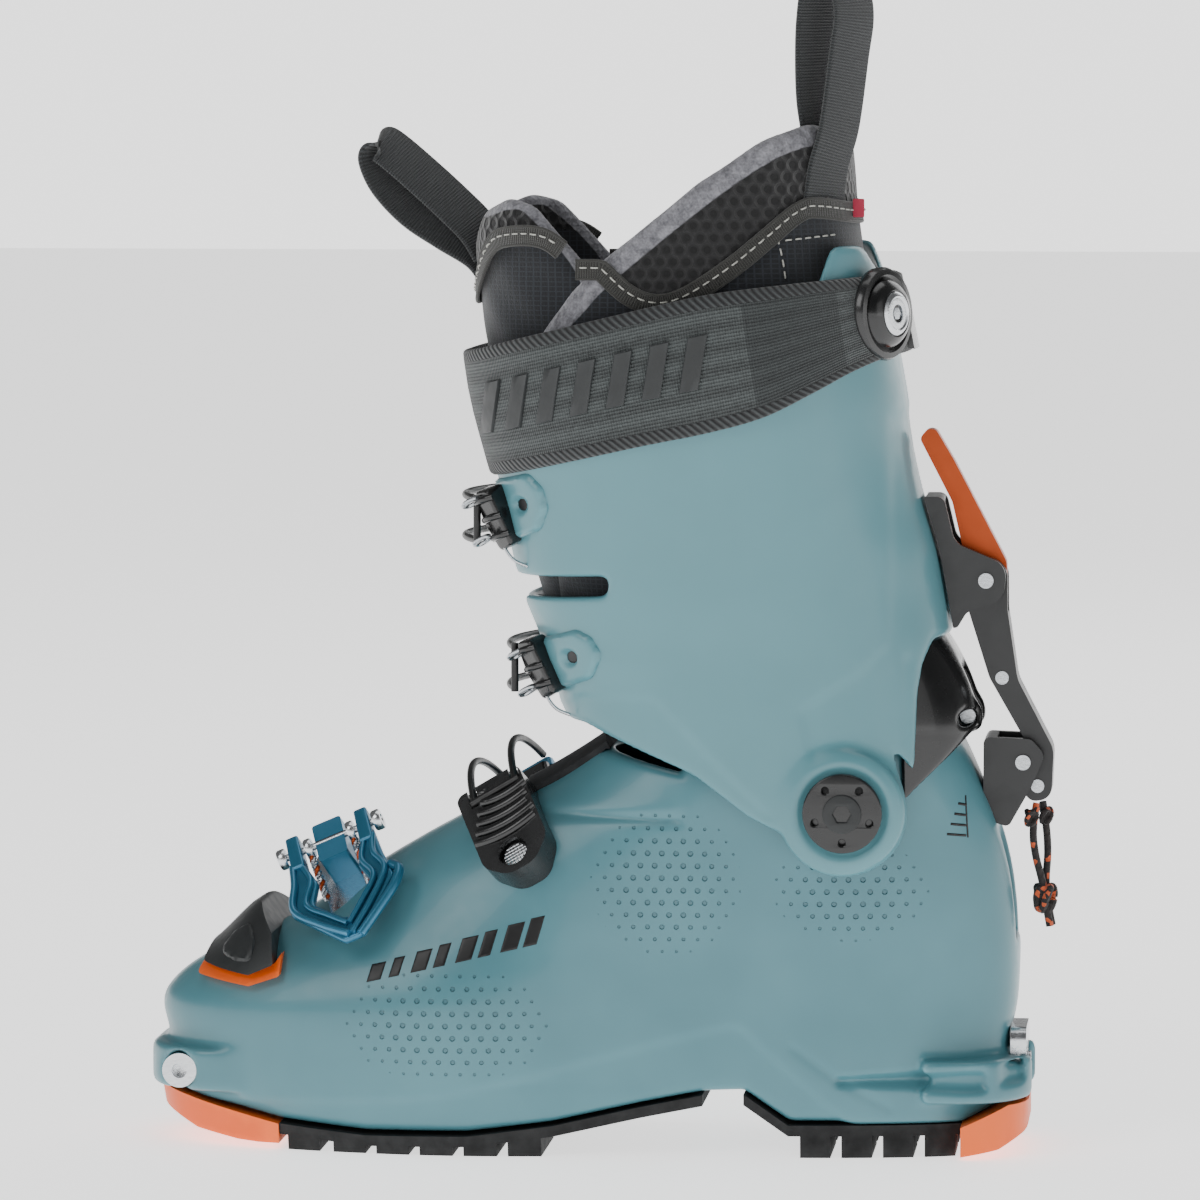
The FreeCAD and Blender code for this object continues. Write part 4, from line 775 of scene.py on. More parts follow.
piece("big_knot", [(knot_mesh((143.3, 0.0, 79.6), 3.1, 1.35, 5), CORD)], "pull_cord", "cord_textile",
      "cord_knot")
piece("small_knots", [(knot_mesh((138.8, -2.1, 105.4), 1.8, 0.95, 3), CORD),
                      (knot_mesh((143.4, 2.3, 105.7), 1.8, 0.95, 3), CORD)], "pull_cord", "cord_textile")


# ------------------------------------------------------------------ lower shell

PIVOT = (82.0, 112.0)
SHELL_ROWS = [
    (4.0, -126.0, 131.0, 40.0, 33.0, 2.6, 3.0),
    (18.0, -136.0, 132.0, 46.0, 36.0, 2.5, 3.0),
    (33.0, -138.0, 132.5, 50.0, 37.5, 2.4, 3.0),
    (48.0, -138.5, 135.0, 51.0, 38.0, 2.3, 3.0),
    (57.0, -128.0, 135.5, 50.0, 38.5, 2.2, 3.0),
    (66.0, -108.0, 135.6, 48.5, 39.0, 2.15, 3.0),
    (78.0, -86.0, 134.8, 46.5, 40.0, 2.1, 3.0),
    (90.0, -68.0, 133.0, 45.0, 40.5, 2.1, 3.0),
    (105.5, -40.8, 128.5, 43.0, 40.5, 2.1, 3.0),
    (117.0, -16.7, 123.5, 42.0, 40.5, 2.1, 3.0),
    (128.0, 1.0, 118.5, 41.0, 40.0, 2.2, 3.0),
    (146.0, 24.0, 108.0, 39.0, 39.0, 2.3, 3.0),
    (172.0, 44.0, 96.0, 36.0, 36.0, 2.4, 3.0),
]
SOLE_EDGE = [(-98.0, 8.5), (-70.0, 6.0), (-37.0, 6.5), (-10.0, 10.0), (17.0, 16.0), (37.0, 20.0),
             (50.0, 20.5), (64.0, 10.5), (118.0, 10.5), (133.0, 17.0)]
WELT_LINE = [(-57.6, 18.1), (-40.6, 20.3), (-18.0, 25.7), (4.9, 31.8), (27.8, 37.8), (45.9, 42.4),
             (50.3, 41.3), (55.6, 35.4), (70.8, 22.0), (90.0, 4.0)]


LEDGE_HALF = 34.5
LEDGE_LOW = 18.0
LEDGE_HIGH = 32.0
ANKLE_RADIUS = 52.5


def make_lower_shell():
    """The moulded foot shell: arched sole edge, binding ledges, ankle drum, hollow and moulded creases."""
    g = Field((-146, -56, 1), (145, 56, 170), 1.0)
    lower = [(-150, 18), (-141, 18)] + SOLE_EDGE + [(150, 17), (150, 108), (-150, 108)]
    crest = [(-60, 107.9), (126.5, 107.9), (124.8, 134.8), (82, 140), (30.6, 122.5), (2, 128.3), (-16, 140)]
    side = np.minimum(np.minimum(g.outline(lower), g.outline(crest)), g.drum(*PIVOT, ANKLE_RADIUS))
    outer = meet(g.rows(SHELL_ROWS), side, 3.0)
    for tip, inner_end, nose in ((-142.5, -110.0, 26.0), (140.5, 106.0, 24.0)):
        sign = math.copysign(1.0, tip)
        reach = np.maximum(sign * (g.x - tip) + nose, 0.0)
        corner = np.sqrt(reach ** 2 + np.maximum(np.abs(g.y) - LEDGE_HALF + nose, 0.0) ** 2) - nose
        plan = np.maximum(np.maximum(corner, np.abs(g.y) - LEDGE_HALF), sign * (inner_end - g.x))
        ledge = meet(plan, np.maximum(LEDGE_LOW - g.z, g.z - LEDGE_HIGH), 2.5)
        outer = join(outer, ledge, 3.0)
    for side_sign in (-1, 1):
        low, high = sorted((side_sign * 20.0, side_sign * 41.0))
        outer = join(outer, g.drum(*PIVOT, 15.0, low, high), 2.0)
    welt = outline_distance(g.x, g.z, [(-150, -20), (-150, 12)] + WELT_LINE + [(90, -20)])
    outer = outer + 1.1 * inside_share(welt, 0.8)
    heel_line = line_distance(g.x, g.z, [(65.4, 35.9), (79.5, 25.2), (96.0, 16.0)])
    outer = outer + 0.7 * np.exp(-(heel_line / 1.2) ** 2)
    heel_slot = g.outline([(79.4, 25.6), (119.0, 28.2), (126.0, 28.2), (126.0, 22.6), (119.0, 22.6),
                           (79.4, 24.4)])
    outer = outer + 3.0 * inside_share(heel_slot, 0.5)
    pin_slot = g.outline([(131.0, 24.3), (137.6, 24.3), (137.6, 30.7), (131.0, 30.7)])
    outer = outer + 2.6 * inside_share(pin_slot, 0.5) * (g.x > 125)
    inner_rows = [(24.0, -129.0) + SHELL_ROWS[2][2:], (33.0, -135.5) + SHELL_ROWS[2][2:]] + SHELL_ROWS[3:]
    inner = np.maximum(g.rows(inner_rows, 8.5, 10.0, 4.5), 24.0 - g.z)
    bores = np.minimum(np.sqrt((g.x + 130.5) ** 2 + (g.z - 24.5) ** 2) - 5.55, g.drum(*PIVOT, 5.1))
    groove = np.maximum(np.maximum(np.abs(g.y) - 9.0, 128.3 - g.x), np.abs(g.z - 99.0) - 20.0)
    lower_groove = np.maximum(np.maximum(np.abs(g.y) - 9.0, 131.5 - g.x), np.abs(g.z - 74.0) - 6.0)
    seat = np.maximum(np.maximum(np.abs(g.y) - 13.0, 133.0 - g.x), np.abs(g.z - 28.4) - 11.5)
    holes = np.minimum(np.minimum(bores, groove), np.minimum(seat, lower_groove))
    shell = meet(meet(outer, -inner, 1.5), -holes, 1.2)
    return field_piece("lower_shell_body", g, softened(shell), 0.55, SHELL, "shell", "shell_plastic",
                       "lower_shell")[0]


lower_shell = make_lower_shell()


# ------------------------------------------------------------------ cuff

CUFF_ROWS = [
    (84.0, 3.0, 122.0, 50.0, 50.0, 3.0, 3.0),
    (112.0, -4.0, 121.0, 50.0, 50.0, 2.9, 2.9),
    (136.0, -10.0, 119.0, 50.5, 50.5, 2.7, 2.7),
    (162.0, -16.5, 115.5, 51.5, 51.5, 2.6, 2.6),
    (178.0, -23.0, 112.8, 53.0, 53.0, 2.5, 2.5),
    (192.0, -26.5, 110.0, 54.0, 54.0, 2.5, 2.5),
    (207.0, -28.8, 105.5, 55.5, 55.5, 2.5, 2.5),
    (222.0, -32.5, 102.0, 56.8, 56.8, 2.5, 2.5),
    (240.0, -36.8, 99.3, 58.0, 58.0, 2.5, 2.5),
    (262.0, -39.8, 95.3, 59.0, 59.0, 2.5, 2.5),
    (292.0, -42.0, 91.0, 58.0, 58.0, 2.5, 2.5),
]
CUFF_EDGE = [(-40.0, 147.0), (-9.8, 137.5), (0.0, 136.9, 6), (21.0, 128.4), (35.0, 122.6, 30), (52.0, 109.8),
             (63.5, 104.5), (72.0, 112.0), (92.0, 112.0), (101.5, 108.5), (103.8, 118.0, 20), (104.7, 147.7),
             (106.0, 157.0, 14), (109.0, 164.0), (140.0, 165.0), (140.0, 200.0), (90.5, 279.0),
             (86.0, 287.9, 4), (77.0, 287.9, 4), (72.0, 272.0, 8), (0.0, 252.0), (-60.0, 238.0)]
SHIN_PANEL = [(-1.6, 146.8), (20.6, 147.1), (23.7, 145.9), (40.8, 128.3), (60.0, 110.0), (10.0, 100.0),
              (-40.0, 120.0)]
SPINE_PANEL = [(95.1, 234.5), (96.4, 187.3), (95.4, 163.7), (87.1, 155.6), (68.5, 143.9), (80.0, 90.0),
               (150.0, 90.0), (150.0, 240.0)]


def make_cuff():
    """The hinged shaft: overlapping front, flex slot, pivot lobes, panel creases."""
    g = Field((-48, -62, 88), (126, 62, 292), 1.0)
    outer = g.rows(CUFF_ROWS)
    inner = g.rows([(80.0,) + CUFF_ROWS[0][1:]] + CUFF_ROWS[1:], 4.0, 4.0, 4.0)
    fade = np.clip((30.0 - g.x) / 20.0, 0.0, 1.0)
    flap = inside_share(g.y + 17.0, 0.7) * fade * np.clip((g.z - 150) / 8, 0, 1)
    outer = outer - 1.3 * flap + 0.5
    outer = outer + 0.7 * inside_share(g.outline(SHIN_PANEL), 0.9)
    outer = outer + 0.6 * inside_share(g.outline(SPINE_PANEL), 0.8)
    rear_line = line_distance(g.x, g.z, [(101.3, 159.0), (101.3, 112.0)])
    outer = outer + 0.5 * np.exp(-(rear_line / 0.9) ** 2)
    skin = meet(outer, -inner, 1.2)
    form = np.minimum(g.outline(rounded(CUFF_EDGE)), g.drum(*PIVOT, 20.0))
    skin = meet(skin, form, 2.2)
    for side_sign in (-1, 1):
        low, high = sorted((side_sign * 41.6, side_sign * 50.0))
        lobe = meet(g.drum(*PIVOT, 19.5), np.maximum(low - g.y, g.y - high), 2.0)
        collar = np.abs(np.sqrt((g.x - PIVOT[0]) ** 2 + (g.z - PIVOT[1]) ** 2) - 15.6) - 1.4
        collar = meet(collar, np.abs(g.y - side_sign * 50.2) - 0.9, 0.8)
        skin = join(join(skin, lobe, 2.5), collar, 1.2)
    slot = g.outline(rounded([(-60.0, 173.5), (8.5, 178.8, 3.1), (9.0, 185.1, 3.1), (-60.0, 181.0)]))
    bore = g.drum(*PIVOT, 6.5)
    heads = np.maximum(g.drum(*PIVOT, 13.2), 49.6 - np.abs(g.y))
    room = g.drum(*PIVOT, 24.0, -41.3, 41.3)
    holes = np.minimum(np.minimum(slot, bore), np.minimum(heads, room))
    cuff_field = softened(meet(skin, -holes, 1.2))
    return field_piece("cuff_shaft", g, cuff_field, 0.6, CUFF_PLASTIC, "cuff", "cuff_plastic", "cuff")[0]


cuff = make_cuff()


# ------------------------------------------------------------------ finishes of the CAD's own pieces

NODE_LOOKS = {
    RUBBER: ["sole_front", "sole_heel"],
    ORANGE: ["toe_insert", "heel_insert", "toe_badge_trim"],
    BURNT: ["walk_lever"],
    STEEL: ["sole_screws", "heel_fitting_screw", "arm_rivets", "catch_pins", "spine_bolt", "lock_axle"],
    CHROME: ["toe_fitting", "heel_fitting", "toe_base"],
    BLACK_METAL: ["lock_arm", "upper_bracket", "lower_bracket"],
    BLACK: ["pivot_bushes", "instep_ladder", "instep_lever_base", "cuff_upper_lever_base",
            "cuff_lower_lever_base", "strap_patch"],
    BLUE: ["toe_block", "instep_lever", "cuff_upper_lever", "cuff_lower_lever"],
    WIRE: ["instep_bail", "cuff_upper_bail", "cuff_lower_bail"],
    SOFT: ["boot_board", "throat_strip"],
    SATIN_BLACK: ["liner_foot", "toe_badge"],
}
for look, node_names in NODE_LOOKS.items():
    for node_name in node_names:
        node_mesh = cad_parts[node_name].data
        for index in range(len(node_mesh.materials)):
            node_mesh.materials[index] = look


# ------------------------------------------------------------------ contour lines round the shaft

def contour(rows, heights_at, angles, out):
    """Points and outward directions round the shaft, at heights that depend on x, moved out."""
    height = np.full(len(angles), float(rows[len(rows) // 2][0]))
    for _ in range(12):
        front, rear, ball, _, front_power, rear_power = smooth_rows(rows, height).T
        reach, middle = (rear - front) / 2.0, (rear + front) / 2.0
        cosine, sine = np.cos(angles), np.sin(angles)
        power = np.where(cosine > 0, rear_power, front_power)
        x = middle + reach * np.sign(cosine) * np.abs(cosine) ** (2.0 / power)
        y = ball * np.sign(sine) * np.abs(sine) ** (2.0 / power)
        height = heights_at(x)
    outward = np.stack([np.sign(cosine) * np.abs(cosine) ** (2.0 - 2.0 / power) / reach,
                        np.sign(sine) * np.abs(sine) ** (2.0 - 2.0 / power) / ball, np.zeros(len(x))], axis=1)
    outward /= np.linalg.norm(outward, axis=1)[:, None]
    points = np.stack([x, y, height], axis=1)
    return points + outward * out, outward


def even_angles(rows, heights_at, start, end, count):
    """Angles that give evenly spaced points between two of them."""
    fine = np.linspace(start, end, 900)
    points = contour(rows, heights_at, fine, 0.0)[0]
    run = run_along(points)
    return np.interp(np.linspace(0.0, run[-1], count), run, fine)


def through(points):
    """A height for each x on a line through (x, z) points."""
    line = smooth_path(points, 8)
    order = np.argsort(line[:, 0])
    return lambda x: np.interp(x, line[order, 0], line[order, 1])


def stitches(path, outward, length, gap, lift, radius=0.28):
    """Short threads that lie on a surface along a path."""
    run = run_along(path)
    out = []
    for start in np.arange(gap, run[-1] - length, length + gap):
        where = start + np.array([0.0, 0.2, 0.5, 0.8, 1.0]) * length
        points = np.stack([np.interp(where, run, path[:, k]) for k in range(3)], axis=1)
        away = np.stack([np.interp(where, run, outward[:, k]) for k in range(3)], axis=1)
        arch = np.array([-0.35, 0.1, 0.25, 0.1, -0.35])
        out.append((tube_mesh(points + away * (lift + arch)[:, None], radius, 5), STITCH))
    return out


# ------------------------------------------------------------------ inner boot

LINER_ROWS = [
    (120.0, -2.0, 117.0, 46.0, 46.0, 2.6, 2.6),
    (162.0, -11.5, 110.8, 47.0, 47.0, 2.5, 2.5),
    (192.0, -21.5, 105.2, 49.5, 49.5, 2.4, 2.4),
    (222.0, -27.5, 97.2, 52.0, 52.0, 2.4, 2.4),
    (262.0, -35.0, 89.5, 54.5, 54.5, 2.4, 2.4),
    (292.0, -38.0, 85.0, 53.5, 53.5, 2.4, 2.4),
    (330.0, -36.0, 84.0, 50.0, 50.0, 2.4, 2.4),
]
FLAP_FORM = [(-10.0, 140.0), (-13.0, 236.0), (-17.0, 256.0, 6), (-4.0, 273.5), (6.0, 283.5, 20),
             (36.0, 308.0, 30), (56.0, 321.5, 30), (69.0, 326.3, 8), (81.0, 324.0, 6), (84.5, 306.0, 20),
             (89.0, 286.0), (120.0, 240.0), (120.0, 140.0)]
FLAP_RIM = [(-14.0, 238.0), (-18.0, 256.0), (-4.0, 273.5), (6.0, 283.5), (36.0, 308.0), (56.0, 321.5),
            (69.0, 326.3), (77.0, 325.5)]
TONGUE_RIM = [(-33.0, 300.5), (-24.0, 303.2), (-15.0, 300.6), (2.0, 282.0), (7.6, 262.0)]
TONGUE_FORM = [(-8.0, 158.0), (-60.0, 158.0), (-60.0, 262.0), (-47.0, 282.0, 10), (-33.0, 299.0, 8),
               (-24.0, 303.2, 6), (-15.0, 300.6, 8), (2.0, 282.0, 12), (7.6, 262.0), (7.6, 158.0)]
FLAP_BINDING = [(6.5, 280.5), (15.2, 272.9), (23.7, 269.9), (33.3, 272.1), (47.3, 281.2), (57.9, 290.0),
                (67.5, 298.1), (74.1, 299.3), (90.0, 296.0)]
TONGUE_BINDING = [(-39.0, 264.0), (-35.1, 274.0), (-29.4, 286.5), (-23.0, 290.3), (-11.0, 290.0),
                  (-1.0, 283.0)]
LINER_WALL = 6.0
FLAP_DRAWN_IN = 1.2
TONGUE_FRONT_IN = -0.4
TONGUE_DRAWN_IN = 7.6
SWEEP_RADIUS = 61.5


def soft_shell(name, form, top_line, low, high, front_in, drawn_in, bind_at, rim_width, node):
    """A padded wall of the inner boot between two lofts, cut by a side outline with a rounded rim."""
    g = Field(low, high, 1.0)
    lumps = 0.35 * np.sin(g.x / 4.6 + g.z / 5.4) * np.sin(g.y / 5.1 - g.z / 7.3)
    outer = g.rows(LINER_ROWS, front_in, drawn_in, drawn_in) + lumps
    inner = g.rows(LINER_ROWS, front_in + LINER_WALL, drawn_in + LINER_WALL, drawn_in + LINER_WALL)
    edge = g.outline(rounded(form, 8))
    sweep = g.drum(*PIVOT, SWEEP_RADIUS)
    wall = softened(meet(meet(meet(outer, -inner, 2.0), edge, 5.5), -sweep, 2.0), 2)
    obj, points = field_piece(name, g, wall, 0.75, LINER, "cuff", "liner_textile", node)
    x, y, z = points.T
    rim = line_distance(x, z, smooth_path(top_line, 6).tolist()) + RIM_WIDTH - rim_width
    panel = z - bind_at(x)
    middle = 0.5 * (LINER_ROWS[-2][1] + LINER_ROWS[-2][2])
    turn = np.arctan2(y, x - middle)
    for label, values in (("rim", rim), ("panel", panel), ("around", turn * 56.0)):
        layer = obj.data.attributes.new(label, "FLOAT", "POINT")
        layer.data.foreach_set("value", values.astype(np.float32))


def flap_binding_height(x):
    """The binding's line on the flap; ahead of it there is only the plain panel."""
    return np.where(x < 5.0, 400.0, through(FLAP_BINDING)(x))


soft_shell("liner_flap", FLAP_FORM, FLAP_RIM, (-42, -58, 138), (114, 58, 330), FLAP_DRAWN_IN, FLAP_DRAWN_IN,
           flap_binding_height, RIM_WIDTH, "liner_shaft")
soft_shell("liner_tongue_pad", TONGUE_FORM, TONGUE_RIM, (-46, -54, 156), (12, 54, 307), TONGUE_FRONT_IN,
           TONGUE_DRAWN_IN, through(TONGUE_BINDING), 4.6, "liner_tongue")
TAPE_WIDTH = 6.2


def binding(name, line, start, end, drawn_in):
    """A ribbed tape sewn over a seam, with a row of pale stitches down its middle."""
    heights = through(line)
    angles = even_angles(LINER_ROWS, heights, start, end, 220)
    path, outward = contour(LINER_ROWS, heights, angles, 0.55 - drawn_in)
    along = np.gradient(path, axis=0)
    along /= np.linalg.norm(along, axis=1)[:, None]
    across = np.cross(outward, along)
    shapes = [(tape_mesh(path, across, TAPE_WIDTH, 1.3), BINDING)]
    for side_line in (-TAPE_WIDTH / 2 + 0.3, TAPE_WIDTH / 2 - 0.3):
        shapes.append((tube_mesh(path + across * side_line + outward * 0.25, 0.55, 8), BINDING))
    shapes += stitches(path + across * 0.6, outward, 2.1, 1.5, 0.82)
    piece(name, shapes, "cuff", "liner_textile")


flap_start = 0.5 * math.pi + 0.36
binding("flap_binding", FLAP_BINDING, -flap_start, flap_start, FLAP_DRAWN_IN)
binding("tongue_binding", TONGUE_BINDING, math.pi - 1.15, math.pi + 1.15, TONGUE_FRONT_IN)


def liner_seam(x_from, z_from, x_to, z_to):
    """A dashed seam on the near side of the inner boot's lower panel."""
    heights = through([(x_from, z_from), ((x_from + x_to) / 2 + 0.4, (z_from + z_to) / 2), (x_to, z_to)])
    share = np.linspace(0.0, 1.0, 20)
    x = x_from + (x_to - x_from) * share
    front, rear, ball, _, front_power, _ = smooth_rows(LINER_ROWS, heights(x)).T
    u = (x - (front + rear) / 2) / ((rear - front) / 2)
    y = -(ball - 1.2) * (1 - np.abs(u) ** front_power) ** (1 / front_power)
    path = np.stack([x, y, heights(x)], axis=1)
    return stitches(path, np.broadcast_to((0.15, -0.98, 0.1), path.shape), 2.0, 1.6, 0.3)


piece("liner_seams", liner_seam(60.5, 292.0, 63.8, 275.0) + liner_seam(62.0, 289.4, 78.0, 291.0), "cuff",
      "liner_textile")
tag = rounded([(-1.8, -2.9, 0.5), (1.8, -2.9, 0.5), (1.8, 2.9, 0.5), (-1.8, 2.9, 0.5)])
piece("liner_tag", [(placed(plate_mesh([tag], 0.8, 0.2), (84.4, -19.0, 299.0), X, Z), RED)], "cuff",
      "liner_textile")


# ------------------------------------------------------------------ pull loops of folded webbing

LOOP_WIDTH = 19.0
LOOP_THICK = 1.8


def loop_piece(name, path, across, node, seams=()):
    """A loop of webbing whose two ends are sewn into the inner boot."""
    line = smooth_path(path, 12)
    shapes = [(tape_mesh(line, across, LOOP_WIDTH, LOOP_THICK), WEBBING)]
    piece(name, shapes + list(seams), "cuff", "webbing", node)


heel_path = [(73.9, -30.5, 299.5), (75.6, -30.2, 312.0), (79.0, -29.6, 325.0), (81.7, -28.2, 346.0),
             (83.2, -27.6, 358.0), (82.0, -27.2, 366.0), (77.8, -26.6, 370.2), (73.0, -25.6, 367.0),
             (71.4, -24.6, 358.0), (71.0, -24.0, 346.0), (71.4, -23.6, 333.0), (73.0, -23.4, 321.0),
             (73.4, -23.4, 309.0)]
loop_piece("heel_loop", heel_path, (0.57, 0.82, 0.0), "heel_pull_loop")
tongue_path = [(-33.5, 0.0, 284.0), (-38.5, 0.0, 292.0), (-47.0, 0.0, 300.5), (-57.0, 0.0, 309.5),
               (-66.0, 0.0, 317.0), (-69.6, 0.0, 318.6), (-70.4, 0.0, 314.6), (-66.5, 0.0, 306.5),
               (-58.0, 0.0, 297.5), (-47.5, 0.0, 290.5), (-37.5, 0.0, 284.5), (-33.0, 0.0, 279.5)]
tongue_stitch = stitches(np.array([(-36.2, -7.5, 290.0), (-36.2, 0.0, 290.0), (-36.2, 7.5, 290.0)]),
                         np.broadcast_to((-0.9, 0.0, 0.4), (3, 3)), 1.6, 1.0, 0.6)
loop_piece("tongue_loop", tongue_path, (0.38, 0.82, 0.42), "tongue_pull_loop", tongue_stitch)


# ------------------------------------------------------------------ power strap

STRAP_TOP = [(-60.0, 252.0), (-39.6, 253.6), (-16.0, 259.6), (7.0, 265.5), (38.1, 272.8), (60.0, 275.8),
             (78.3, 277.6), (92.0, 278.4), (110.0, 279.0)]
STRAP_BOTTOM = [(-60.0, 209.0), (-33.5, 213.6), (-8.0, 219.6), (19.5, 226.1), (40.0, 230.4), (56.7, 235.2),
                (72.0, 243.0), (84.5, 250.0), (94.0, 253.4), (110.0, 254.0)]
STRAP_SECTION = [(0.0, 0.9), (0.0, 2.0), (0.012, 2.7), (0.03, 3.0), (0.1, 3.1), (0.3, 3.25), (0.5, 3.3),
                 (0.7, 3.25), (0.9, 3.1), (0.97, 3.0), (0.988, 2.7), (1.0, 2.0), (1.0, 0.9), (0.97, 0.5),
                 (0.5, 0.5), (0.03, 0.5)]
FACE_MIDDLE = 6
LAP_START_X = 53.0
LAP_END_X = 107.0
LAP_RISE = 0.9


def strap_point(angles, share, out):
    """Points on the strap and outward directions, at a share of its height."""
    top, bottom = through(STRAP_TOP), through(STRAP_BOTTOM)
    return contour(CUFF_ROWS, lambda x: bottom(x) + share * (top(x) - bottom(x)), angles, out)


def make_strap():
    """A wide woven strap round the top of the cuff, with one lapped layer on the near side."""
    top, bottom = through(STRAP_TOP), through(STRAP_BOTTOM)
    angles = even_angles(CUFF_ROWS, lambda x: 0.5 * (top(x) + bottom(x)), -math.pi, math.pi, 361)[:-1]
    middle = strap_point(angles, 0.5, 3.3)[0]
    lap_middle, lap_half = (LAP_START_X + LAP_END_X) / 2, (LAP_END_X - LAP_START_X) / 2
    lap = np.where(middle[:, 1] < 0, inside_share(np.abs(middle[:, 0] - lap_middle) - lap_half, 0.6), 0.0)
    columns = []
    for share, out in STRAP_SECTION:
        points, outward = strap_point(angles, share, out)
        wave = 0.25 * np.sin(angles * 9.0 + share * 2.0) * (out > 1.5)
        points = points + outward * (wave + lap * LAP_RISE * (out > 1.5))[:, None]
        columns.append(points)
    rings = np.stack(columns, axis=1)
    rings = np.concatenate([rings, rings[:1]])
    run = run_along(rings[:, FACE_MIDDLE])
    across, side = rings[:-1, FACE_MIDDLE, 0], rings[:-1, FACE_MIDDLE, 1]
    near = (side < 0) & (across > 0)
    lap_start = run[:-1][near][np.argmin(np.abs(across[near] - LAP_START_X))]
    run = run - lap_start + STRAP_DARK_FROM
    return sheet_mesh(rings, uv=lambda row, column: (run[row], STRAP_SECTION[column][0] * STRAP_UV_WIDTH))


BLOCK_OUT = (3.1, 4.15)
BLOCK_CENTRES = (-27.0, -18.0, -8.0, 2.5, 13.5, 24.5, 36.0)
BLOCK_LOW = 0.33
BLOCK_HIGH = 0.72
BLOCK_LEAN = 7.0
BLOCK_POINTS = 5


def strap_block(centre_x, width):
    """A raised slanted bar moulded on the strap: the generic ornament of the near side."""
    top, bottom = through(STRAP_TOP), through(STRAP_BOTTOM)
    rows = []
    for share in np.linspace(BLOCK_LOW, BLOCK_HIGH, BLOCK_POINTS):
        for_side = centre_x + BLOCK_LEAN * (share - 0.5)
        columns = []
        for offset in np.linspace(-width / 2, width / 2, BLOCK_POINTS):
            x = for_side + offset
            height = bottom(x) + share * (top(x) - bottom(x))
            front, rear, ball, _, front_power, _ = smooth_rows(CUFF_ROWS, np.array([height])).T[:, 0]
            u = (x - (front + rear) / 2) / ((rear - front) / 2)
            y = ball * (1 - abs(u) ** front_power) ** (1 / front_power)
            slope = Vector((abs(u) ** (front_power - 1) * math.copysign(1, u) / ((rear - front) / 2),
                            -(y / ball) ** (front_power - 1) / ball, 0)).normalized()
            columns.append((Vector((x, -y, height)), slope))
        rows.append(columns)
    points, faces = [], []
    n, centre = BLOCK_POINTS, BLOCK_POINTS // 2
    for out, shrink in ((BLOCK_OUT[0], 0.0), (BLOCK_OUT[1] - 0.25, 0.0), (BLOCK_OUT[1], 0.25)):
        for i, columns in enumerate(rows):
            for j, (point, slope) in enumerate(columns):
                pull = Vector(((centre - j) * shrink / centre, 0, (centre - i) * shrink / centre))
                points.append(point + slope * out + pull)
    size = n * n
    for i in range(n - 1):
        for j in range(n - 1):
            a = i * n + j
            faces.append([2 * size + a + k for k in (0, 1, n + 1, n)])
            faces.append([a + k for k in (n, n + 1, 1, 0)])
    ring = (list(range(n)) + [n * k + n - 1 for k in range(1, n)]
            + list(range(size - 2, size - n - 1, -1)) + [n * k for k in range(n - 2, 0, -1)])
    for layer in range(2):
        for a, b in zip(ring, ring[1:] + ring[:1]):
            faces.append((layer * size + a, layer * size + b, (layer + 1) * size + b, (layer + 1) * size + a))
    return raw_mesh(points, faces), SATIN_BLACK


strap_blocks = [strap_block(x, 4.6 + 0.02 * (x + 30.0)) for x in BLOCK_CENTRES]
piece("power_strap_webbing", [(make_strap(), STRAP)] + strap_blocks, "cuff", "webbing", "power_strap")
BUTTON = Vector((94.0, -33.0, 266.5))
BUTTON_OUT = (0.86, -0.50, 0.05)
BUTTON_RING = [(14.4, -3.0), (14.6, -0.6), (13.9, 0.6), (12.2, 0.9), (11.0, 0.2), (10.4, 1.6), (9.0, 3.2),
               (7.4, 3.9), (6.9, 3.6), (0.0, 3.6)]
BUTTON_CAP = [(6.8, 3.4), (6.8, 3.9), (6.2, 4.5), (5.4, 4.7), (4.8, 4.3), (3.2, 4.5), (2.8, 4.4), (2.6, 3.2),
              (0.0, 3.1)]
BUTTON_HEX = [(2.2, 3.0), (2.0, 4.1), (1.2, 4.2), (0.0, 4.2)]
piece("strap_stud", [(turned(BUTTON_RING, BUTTON, BUTTON_OUT), BLACK),
                     (turned(BUTTON_CAP, BUTTON, BUTTON_OUT), CHROME),
                     (turned(BUTTON_HEX, BUTTON, BUTTON_OUT, 6), STEEL)], "cuff", "black_plastic",
      "strap_button")


# ------------------------------------------------------------------ thin parts laid on curved surfaces

def tree_of(*objects):
    """A search tree over meshes, in millimetres."""
    points, faces = [], []
    for obj in objects:
        first = len(points)
        points += [v.co / MM for v in obj.data.vertices]
        faces += [[first + i for i in polygon.vertices] for polygon in obj.data.polygons]
    return BVHTree.FromPolygons(points, faces)


